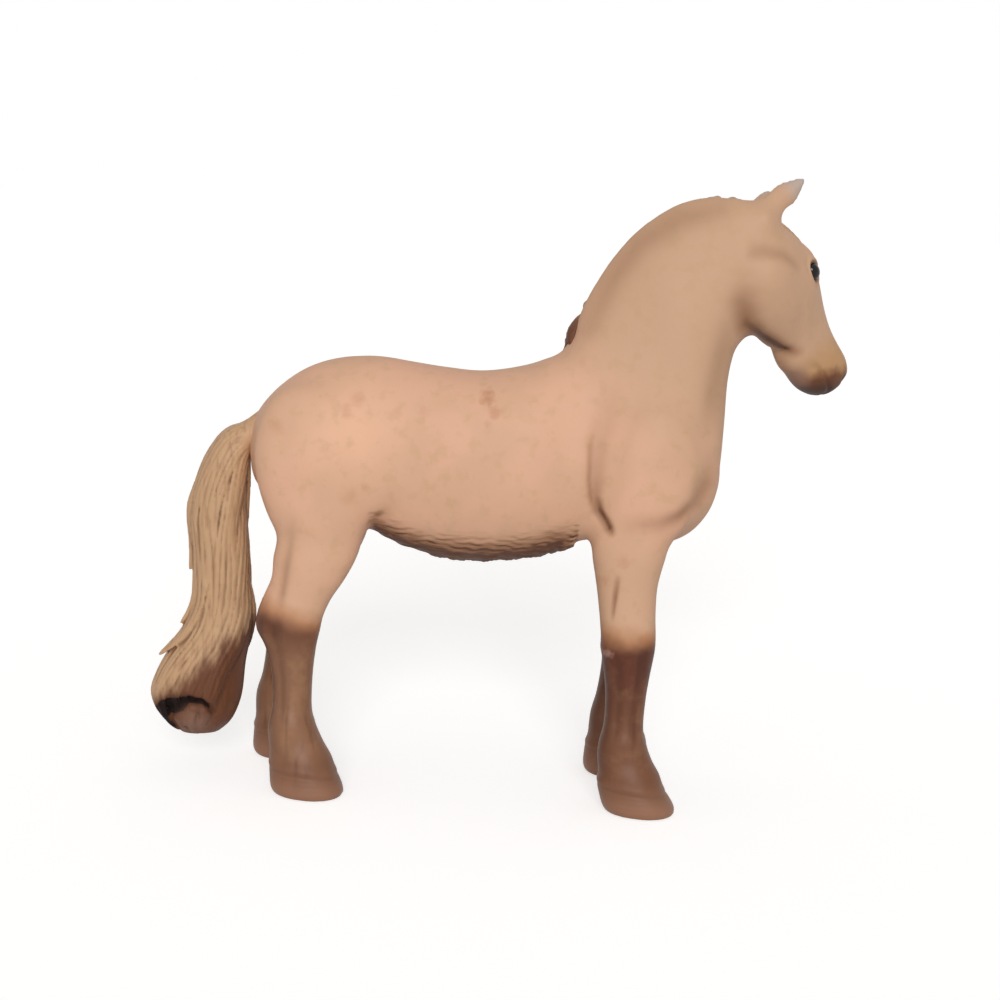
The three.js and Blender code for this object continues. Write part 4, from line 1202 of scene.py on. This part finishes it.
def leg_relief(p, normals, name):
    """How far the skin moves out and how much painted shade it gets: the groove before the
    tendon, the knob behind the knee, the tuft behind the fetlock, the coronet and the hoof's
    rings, with painted shade in the tendon's groove, behind the cannon, under the coronet and in
    the forearm's fold."""
    heights = legs[name][::-1, 2]
    middle = np.interp(p[:, 2], heights, legs[name][::-1, 0])
    half = np.interp(p[:, 2], heights, np.linalg.norm(legs[name][::-1, 3:6], axis=1))
    u, z = (p[:, 0] - middle) / half, p[:, 2]
    sideways = np.clip(np.abs(normals[:, 1]) * 1.4 - 0.3, 0, 1)
    span = between(z, 13, 17, 28, 32)
    tendon = -0.26 * bell(u, -0.4, 0.2) * span * sideways
    bone = 0.12 * bell(u, 0.15, 0.35) * span * sideways
    fore_leg = name.startswith("fore")
    joint = [(-0.75, 31.2, 0.3, 1.3, 0.42), (0.85, 31.5, 0.5, 2.6, 0.2)] if fore_leg else [
        (0.1, 32.0, 0.4, 2.4, 0.16)]
    joint += [(0.0, FETLOCK + 1.0, 0.6, 2.2, 0.22)]
    knob = sum(rise * bell(u, at, wide) * bell(z, up, tall) for at, up, wide, tall, rise in joint)
    band = z - HOOF_HEIGHT + 1.2 - 0.1 * (middle - p[:, 0])
    coronet = 0.1 * bell(band, 0, 0.6) - 0.06 * bell(band, -0.8, 0.4)
    tuft = 0.15 * bell(z, FETLOCK - 1.6, 2.0) * ramp(u, -0.5, -0.95)
    rings = 0.008 * np.sin(z * 6.5) * ramp(band, -0.8, -1.6)
    move = tendon + bone + knob + coronet + tuft + rings * (np.abs(normals[:, 2]) < 0.7)
    # painted shade: in the tendon's groove, behind the cannon, under the coronet's ledge and, on the
    # right side, in the forearm's fold
    painted_shade = np.maximum(-tendon * 1.6, 0.45 * ramp(u, -0.35, -0.9) * between(z, 6, 10, 28, 31))
    painted_shade = np.maximum(painted_shade, 0.35 * bell(band, -0.8, 0.35))
    if fore_leg:
        depth, mark = groove(p[:, [0, 2]], FOREARM_FOLD)
        move, painted_shade = move + depth * sideways, np.maximum(painted_shade, mark * (p[:, 1] < 0) * sideways)
    return move, np.clip(painted_shade, 0, 1)

# %% Leg pieces
for name, (*_, level) in LEGS.items():
    spots, sides, part_shade = finer(*taken(name))
    rim = rim_points(sides)
    free = ramp(spots[:, 2], level, level - 0.8)
    spots = smoothed(spots, edges_of(sides)[0], 5, free)
    normals = normals_of(spots, sides)
    move, shade = leg_relief(spots, normals, name)
    flat = ramp(spots[:, 2], 0.15, 0.6)
    spots = spots + normals * (move * free * flat)[:, None]
    spots[:, 2] = np.maximum(spots[:, 2], 0)
    part_shade = np.maximum(part_shade, shade * free)
    spots, fan = capped(spots, sides, [rim])
    finish_piece(name + "_skin", spots, [*sides, fan], coat_on_legs, (name,),
                 {"hollow_shade": np.append(part_shade, 0)}, rim)

# %% [markdown]
# ## The head
# Eye sockets with their lids, a nostril on each side and the slit of the mouth are drawn on
# the finer skin, in the head's own frame, with painted shade in the slit and the nostrils. The
# muzzle is sprayed brown and the ear tips grey.

# %% Head paint
def head_paint():
    """The coat with grey ear tips, a golden muzzle with rusty and dark lips, a lilac chin and
    black lids."""
    paint = Paint("coat on the head")
    face, chin = paint.layer("down the face"), paint.layer("down the chin")
    blur = (paint.noise(3.0, 3.0) - 0.5) * 0.1
    lips = face + chin * 0.25 + blur
    lilac = paint.ramp(chin, 0.3, 0.42) * paint.ramp(face, 0.66, 0.76) * paint.ramp(face, 0.9, 0.82)
    colour = paint.coats(
        coat(paint),
        (rgb(186, 172, 164), paint.ramp(paint.layer("up the ear") + blur, 0.35, 0.9) * 0.9),
        (rgb(186, 142, 98), paint.ramp(face + blur, 0.62, 0.8) * 0.85),
        (RUST, paint.ramp(lips, 0.81, 0.91)), (DARK, paint.ramp(lips, 0.87, 0.97) * 0.85),
        (rgb(172, 134, 116), lilac * 0.7), (rgb(24, 15, 12), paint.layer("lids")))
    return paint.done(colour, 0.52 + paint.noise(5) * 0.08, plastic_relief(paint))


coat_on_head = head_paint()
print("nodes in the head's paint:", len(coat_on_head.node_tree.nodes))

# %% Eye sockets, nostrils and mouth
EYE_SOCKET = [
    # middle, radii, height; both sides of the head get each of them
    (EYE, (1.5, 1.6, 1.3), -0.6), ((34.2, 4.3, 1.5), (1.8, 1.6, 1.5), 0.3),
    ((35.4, 3.7, 1.2), (0.85, 1.2, 0.7), -1.0),
]
# x, z, width, depth, painted shade of the mouth's slit
LIPS = [(27.6, -4.6, 0.9, 0, 0.2), (29.4, -3.7, 0.5, 0.3, 0.6), (32, -3.2, 0.4, 0.4, 0.8),
        (35, -2.9, 0.4, 0.4, 0.8), (38.5, -2.6, 0.4, 0.3, 0.6)]


def eyes_and_lips(q):
    """How far the skin of the head moves out, the painted shade in the mouth's slit and the nostrils,
    and the rims of the eyes.
    """
    either = either_side(q)
    move = knobs(either, EYE_SOCKET)
    front = np.maximum(ramp(np.abs(q[:, 1]), 1.0, 2.6), ramp(q[:, 0], 34, 36))
    depth, painted_shade = groove(q[:, [0, 2]], LIPS)
    # a dark spot in each nostril, painted shade in its hollow
    nostril = np.exp(-(((either - [35.6, 3.9, 1.1]) / 0.9) ** 2).sum(1))
    rim = np.linalg.norm((either - EYE) * [0.85, 0.8, 1.1], axis=1)
    move += depth * front + 0.34 * bell(rim, 2.15, 0.42)
    return move, np.maximum(painted_shade * front, nostril), np.exp(-((rim / 1.95) ** 8))

# %% Head piece
spots, sides, part_shade = finer(*taken("head"))
rim = rim_points(sides)
free = ramp(past_seam(spots), 0.0, 1.0)
spots = smoothed(spots, edges_of(sides)[0], 5, free)
normals = normals_of(spots, sides)
local = placed(spots, INTO_HEAD)
move, mouth_shade, lids = eyes_and_lips(local)
spots = spots + normals * (move * free)[:, None]
up_ear = np.zeros(len(spots))
for frame_of_ear in EAR_FRAMES:
    x, y, z = placed(spots, frame_of_ear.inverted()).T
    up_ear = np.maximum(up_ear, (np.hypot(x, y) < 4.5) * z / EAR_LENGTH)
spots, fan = capped(spots, sides, [rim])
finish_piece("head_skin", spots, [*sides, fan], coat_on_head, ("head",),
             {"hollow_shade": np.append(np.maximum(part_shade, mouth_shade), 0), "lids": np.append(lids, 0),
              "down the face": np.append(local[:, 0] / HEAD_LENGTH, 0),
              "down the chin": np.append(-local[:, 2] / HEAD_DEPTH, 0),
              "up the ear": np.append(np.clip(up_ear, 0, 1), 0)}, rim)

# %% [markdown]
# ## Eyes
# Each eye is a small glossy ball, dark brown to black, set into its socket so that the lids
# close over its rim.

# %% Eyes
gloss = Paint("glossy eye")
lights = gloss.ramp(gloss.noise(1.5), 0.5, 0.8)
eye_gloss = gloss.done(gloss.mix(rgb(14, 9, 8), rgb(44, 26, 18), lights), 0.12)
for label, side in (("right", -1), ("left", 1)):
    seat = EYE * [1, side, 1] - [0, side * 0.75, 0]
    eyeball = moved(ball(seat, (3.5, 3.0, 3.1), 20, 32), HEAD_FRAME)
    finish_piece(f"eye_{label}", eyeball[0], eyeball[1:], eye_gloss)

# %% [markdown]
# ## Hair
# Moulded hair is a bundle of locks, each with fine grooves along it. A lock is a flat ring
# carried along a path; the ring's outline is rippled to make the grooves, and it shrinks to a
# point at the tip. The locks are then joined in one skin, as the mould joins them.

# %% A lock
def lock(path, out, width, thickness, grooves=5, seed=0.0, rows=44, sides=36):
    """A point at angle a is path + out * thickness * sin a + side * width * cos a, and both
    are multiplied by 1 + 0.13 * cos(grooves * a + seed). Sizes follow sin^0.6 of t."""
    path, out = np.asarray(path, float), np.asarray(out, float)
    places = np.linspace(0, len(path) - 1, rows)
    walk = rings_at(np.hstack([path, out]), places)
    spine, away = walk[:, :3], walk[:, 3:]
    ahead = np.gradient(spine, axis=0)
    ahead /= np.linalg.norm(ahead, axis=1, keepdims=True)
    away = away - (away * ahead).sum(1, keepdims=True) * ahead
    away /= np.linalg.norm(away, axis=1, keepdims=True)
    across = np.cross(away, ahead)
    t = np.linspace(0, 1, rows)[:, None]
    size = np.sin(np.pi * (0.16 + 0.825 * t)) ** 0.6
    a = np.linspace(0, 2 * np.pi, sides, endpoint=False)[None, :]
    ripple = 1 + 0.13 * np.cos(grooves * 2 * a + seed + 2.5 * t)
    up = (size * thickness / 2 * ripple * np.sin(a))[..., None]
    wide = (size * width / 2 * ripple * np.cos(a))[..., None]
    return closed(spine[:, None] + away[:, None] * up + across[:, None] * wide)

# %% Hair paint
def hair_paint(name, root, tip, low, high, slope=0.0):
    """The root colour above and the tip colour below a blurred line that climbs by the slope
    towards the front, with brown painted shade in the grooves and black painted shade in the
    deepest ones."""
    paint = Paint(name)
    strands = paint.noise(0.9, 3.0, (1, 1, 0.12))
    height = paint.z - paint.x * slope + (paint.noise(2.4, 3.0, (1, 1, 0.3)) - 0.5) * 0.01
    fade = paint.ramp(height, high, low)
    golden = paint.ramp(paint.noise(3.0, 4.0), 0.45, 0.75) * (1 - fade) * 0.5
    # painted shade: brown in the grooves between the locks, black in the deepest
    deep = paint.layer("hollow_shade")
    ragged = deep + (paint.noise(1.6, 3.0) - 0.5) * paint.ramp(deep, 0.8, 0.9)
    colour = paint.coats(
        root, (tip, fade), (rgb(206, 170, 132), golden),
        (rgb(122, 80, 50), paint.ramp(strands, 0.5, 0.3) * 0.35), (rgb(86, 50, 30), deep * 0.9),
        (rgb(26, 12, 9), paint.ramp(ragged, 0.82, 1.15)))
    return paint, colour, strands

# %% A head of hair in one skin
def hair_piece(name, surfaces, voxel, material, nodes=(), gap=None):
    """Locks joined in one skin, with the depth of the grooves kept for the painted shade. A gap is
    a groove drawn on the right side, and its painted shade reaches all of that half."""
    spots, squares = one_skin(surfaces, voxel)
    edges, _ = edges_of([squares])
    spots = smoothed(spots, edges, 2)
    normals = normals_of(spots, [squares])
    # how hollow the skin is between the locks, which sets the painted shade
    deep = smoothed(((neighbour_mean(spots, edges) - spots) * normals).sum(1), edges, 3)
    deep = np.clip(deep / (0.08 * voxel), 0, 0.8)
    if gap:
        depth, painted_shade = groove(spots[:, [0, 2]], gap)
        side = ramp(normals[:, 1], 0.2, -0.3) * (spots[:, 1] < 0)
        spots = spots + normals * (depth * side)[:, None]
        deep = np.maximum(deep, painted_shade * np.maximum(side, ramp(spots[:, 1], -0.3, -1.5)))
    return finish_piece(name, spots, [squares], material, nodes, {"hollow_shade": deep})

# %% [markdown]
# ## The tail
# The tail hangs clear of the hocks and swells into a bushy end that was dipped in dark brown.
# A core fills the middle of an envelope of rings, and locks wind down it.

# %% Envelope of the tail
TAIL = [
    # behind back, behind down, front back, front down, width
    [-0.4, -0.07, -0.46, 0.06, 0.5],
    [0.05, 0.0, -0.02, 0.12, 0.66],
    [0.45, 0.043, 0.03, 0.155, 0.76],
    [0.74, 0.123, 0.01, 0.2, 0.86],
    [0.92, 0.21, 0.0, 0.27, 0.92],
    [1.0, 0.29, -0.01, 0.36, 0.94],
    [0.92, 0.4, -0.05, 0.45, 0.92],
    [0.88, 0.5, -0.12, 0.54, 0.92],
    [0.88, 0.58, -0.17, 0.61, 0.96],
    [1.05, 0.67, -0.16, 0.69, 1.05],
    [1.38, 0.76, -0.12, 0.76, 1.15],
    [1.6, 0.86, -0.08, 0.865, 1.18],
    [1.42, 0.94, 0.1, 0.94, 0.95],
    [1.12, 0.99, 0.36, 0.98, 0.5],
]
DOCK = 0.81 * WITHERS
tail_rings = np.array([
    side_ring([-b * TAIL_DEPTH, DOCK - bd * TAIL_LENGTH], [-f * TAIL_DEPTH, DOCK - fd * TAIL_LENGTH],
              w * TAIL_WIDTH)
    for b, bd, f, fd, w in TAIL])
print("the tail ends", round(float(tail_rings[:, 2].min()), 1), "mm above the ground")

# %% Locks of the tail
def tail_lock(turn, first, last, width, thickness, lift, drift, seed):
    """The angle round the envelope drifts from turn towards the back, at a quarter turn. The
    seat lies a third of the thickness under the envelope, deeper at the start, and lifts off
    by the cube of t."""
    t = np.linspace(0, 1, 14)
    places = first + (last - first) * t
    rows = rings_at(tail_rings, places)
    turns = 0.25 + ((turn + 0.25) % 1 - 0.5) * (1 - drift * t) + 0.01 * np.sin(0.9 * places + seed)
    swell = 1 + lift * t**3 - 0.35 * (1 - t) ** 6
    seat = on_rings(rows, 2 * np.pi * turns[:, None], swell[:, None])[:, 0]
    out = seat - rows[:, :3]
    out /= np.linalg.norm(out, axis=1, keepdims=True)
    scale = np.linalg.norm(rows[:, 6:9], axis=1).mean()
    return lock(seat - out * thickness * 0.32, out, width * scale, thickness, 5, seed)


core = tail_rings.copy()
core[:, 3:9] *= 0.86
tail = [loft(core, 40, 5)]
rng = np.random.default_rng(7)
for first, last, count, drift in ((0.3, 7.6, 13, 0.3), (2.8, 10.4, 14, 0.4), (5.4, 12.8, 16, 0.4)):
    for k in range(count):
        tail.append(tail_lock((k + rng.uniform(-0.2, 0.2)) / count, first + rng.uniform(0, 0.9),
                              last + rng.uniform(-0.9, 0), rng.uniform(0.62, 0.84),
                              rng.uniform(1.8, 2.4), rng.uniform(0, 0.06), drift, rng.uniform(0, 6)))
for turn, first, last, lift, width in ((0.32, 2.2, 6.8, 0.34, 0.5), (0.33, 4.2, 8.7, 0.38, 0.5),
                                       (0.36, 5.0, 9.8, 0.35, 0.95), (0.28, 6.2, 9.5, 0.22, 0.6)):
    tail.append(tail_lock(turn, first, last, width, 2.1, lift, 0.5, turn * 20))
print("locks in the tail:", len(tail) - 1)

# %% Tail piece
hair, colour, strands = hair_paint("hair of the tail", rgb(197, 157, 120), rgb(104, 62, 40),
                                   0.0684, 0.0738, 0.9)
rubbed = hair.spot(-8.6, 10.6, 4.4, (hair.noise(1.5) - 0.5) * 0.002)
colour = hair.mix(colour, rgb(136, 100, 82), rubbed)
tail_hair = hair.done(colour, 0.5 + hair.layer("hollow_shade") * 0.4,
                      plastic_relief(hair) * 0.3 + strands, 0.16)
TAIL_GAP = [
    # x, z, width, depth, painted shade of the hollow in the bushy end, which turns it black
    (-13.2, 8.4, 1.1, 0.0, 1.5), (-15.6, 10.8, 1.7, 0.1, 1.9), (-14.4, 12.6, 1.8, 0.7, 2.0),
    (-11.6, 13.8, 1.6, 1.5, 1.9), (-9.7, 15.0, 0.9, 1.6, 1.6), (-7.4, 14.6, 0.75, 1.5, 1.5),
    (-5.8, 13.8, 0.6, 1.2, 1.3), (-4.9, 12.2, 0.4, 0.4, 0.7)]
hair_piece("tail_locks", tail, 0.24, tail_hair, ("tail",), TAIL_GAP)

# %% [markdown]
# ## The mane
# The mane falls over the crest to the left. Under it lies a sheet that follows the rings of
# the neck, and its locks slip back along the neck as they fall.

# %% A lock of the mane
FIRST, LAST = 1.75, 7.3  # the stretch of the neck's rings that carries the mane


def mane_lock(t, drop, width, thickness, rise, seed):
    """At u down the lock the ring of the neck is first - 0.62 * reach * u^2, and the angle
    on it is a quarter turn - 0.08 - u * reach, where reach = drop / half depth."""
    u = np.linspace(0, 1, 10)
    first = FIRST + (LAST - FIRST) * t
    reach = drop / np.linalg.norm(rings_at(neck_rings, [first])[0, 3:6])
    places = np.maximum(0, first - 0.62 * reach * u**2)
    rows = rings_at(neck_rings, places)
    angles = np.pi / 2 - 0.08 - u * reach
    seat = on_rings(rows, angles[:, None])[:, 0]
    out = seat - rows[:, :3]
    out /= np.linalg.norm(out, axis=1, keepdims=True)
    lifted = (rise * np.sin(np.pi * u) + 0.3 * rise - 1.5 * (1 - u) ** 3)[:, None]
    return lock(seat + out * lifted, out, width, thickness, 3, seed)

# %% Mane piece
mane = []
COUNT = 15
for k in range(COUNT):
    t = k / (COUNT - 1)
    drop = MANE_DROP * (0.76 + 0.22 * math.sin(math.pi * min(1, t + 0.2)) + 0.12 * (k % 2))
    mane.append(mane_lock(t, drop * rng.uniform(0.94, 1.04), rng.uniform(5.4, 6.6),
                          rng.uniform(2.0, 2.6), rng.uniform(0.1, 0.5), rng.uniform(0, 6)))
for k in range(9):
    t = (k + 0.5) / 9
    mane.append(mane_lock(t, MANE_DROP * rng.uniform(0.5, 0.8), rng.uniform(3.2, 4.4), 1.9,
                          rng.uniform(0.7, 1.0), rng.uniform(0, 6)))
withers = [(60.9, 1.8, 91.2), (59.6, 0.5, 89.8), (58.7, -0.5, 88.1), (58.6, -1.2, 86.6),
           (59.4, -1.8, 85.0)]
mane.append(lock(withers, np.tile([-0.6, -0.5, 0.5], (5, 1)), 2.4, 1.7, 3, 1.0))
hair, colour, strands = hair_paint("hair of the mane", rgb(192, 154, 120), rgb(98, 58, 38),
                                   0.0885, 0.096)
mane_hair = hair.done(colour, 0.5 + hair.layer("hollow_shade") * 0.4,
                      plastic_relief(hair) * 0.3 + strands, 0.14)
hair_piece("mane_locks", mane, 0.3, mane_hair, ("mane",))

# %% Forelock
forelock = []
for spread, length in ((-0.1, 0.26), (0.0, 0.34), (0.09, 0.3), (0.16, 0.22)):
    path = [(-0.08, 0.4, 0.02), (-0.02, 0.7, 0.15), (0.1, 1.0, 0.3), (0.8 * length, 1.2, 0.41),
            (length, 1.4, 0.45)]
    path = (np.array(path) * [1, spread, 1] + [0, 0.06, 0]) * [HEAD_LENGTH, HEAD_WIDTH, HEAD_DEPTH]
    path = placed(path, HEAD_FRAME)
    up = np.tile(np.array(HEAD_FRAME)[:3, 2], (len(path), 1))
    forelock.append(lock(path, up, 2.5, 1.7, 3, spread * 40))
hair_piece("forelock", forelock, 0.25, mane_hair)

# %% [markdown]
# ## The photographer's table
# A pale floor, one broad lamp near the camera and a soft sky. The lamps are plain, so that a
# colour comes out about as it was mixed. Only the rays of the camera, of mirrors and of glass
# find the sky white and the floor glowing, and the floor still shows the shadow.

# %% Floor and sky
WIDE = 3.0
WHITE = (1.0, 1.0, 1.0, 1.0)
corners = [(-WIDE, -WIDE, 0), (WIDE, -WIDE, 0), (WIDE, WIDE, 0), (-WIDE, WIDE, 0)]
floor_mesh = bpy.data.meshes.new("floor")
floor_mesh.from_pydata(corners, [], [(0, 1, 2, 3)])
floor = bpy.data.objects.new("floor", floor_mesh)
bpy.context.collection.objects.link(floor)
table = Paint("pale table")
floor_mesh.materials.append(table.done(rgb(212, 210, 208), 0.9))
glow = table.mix((0, 0, 0, 1), (0.6, 0.6, 0.6, 1), table.seen())
table.feed(table.shader.inputs["Emission Color"], glow)
table.shader.inputs["Emission Strength"].default_value = 1.0

world = bpy.data.worlds.new("sky")
bpy.context.scene.world = world
world.use_nodes = True
sky = Tree(world.node_tree)
soft, white = (sky.node("ShaderNodeBackground", {}, {"Color": WHITE, "Strength": strength})
               for strength in (0.38, 1.0))
either_sky = sky.node("ShaderNodeMixShader", {}, {0: sky.seen(), 1: soft, 2: white})
sky.feed(sky.tree.nodes["World Output"].inputs["Surface"], either_sky)
print("floor side, m:", 2 * WIDE)

# %% Lamp and camera
TARGET = Vector((0, 0, 0.0555))
DISTANCE = 0.340
SENSOR, SENSORS_AWAY = 36, 1.802  # mm, and the lens length in widths of the sensor
tilt, roll = math.radians(11.0), math.radians(3.2)
forward = Vector((0, math.cos(tilt), -math.sin(tilt)))
level = Vector((1, 0, 0))
raised = level.cross(forward)
right = math.cos(roll) * level + math.sin(roll) * raised
up = -math.sin(roll) * level + math.cos(roll) * raised
turn = Matrix((right, up, -forward)).transposed()
camera_data = bpy.data.cameras.new("camera")
camera_data.sensor_width = SENSOR
camera_data.lens = SENSOR * SENSORS_AWAY
camera_data.clip_start = 0.01
camera = bpy.data.objects.new("camera", camera_data)
camera.matrix_world = Matrix.Translation(TARGET - forward * DISTANCE) @ turn.to_4x4()
bpy.context.collection.objects.link(camera)
bpy.context.scene.camera = camera

key = bpy.data.lights.new("key", "SUN")
key.energy = 1.85
key.angle = math.radians(26)  # a broad lamp, for soft shadows
sun = bpy.data.objects.new("key", key)
sun.rotation_euler = Vector((0.03, -1.0, 0.42)).to_track_quat("Z", "Y").to_euler()
bpy.context.collection.objects.link(sun)
bpy.context.scene.view_settings.view_transform = "Standard"
print("camera at, m:", tuple(round(v, 3) for v in camera.matrix_world.translation))
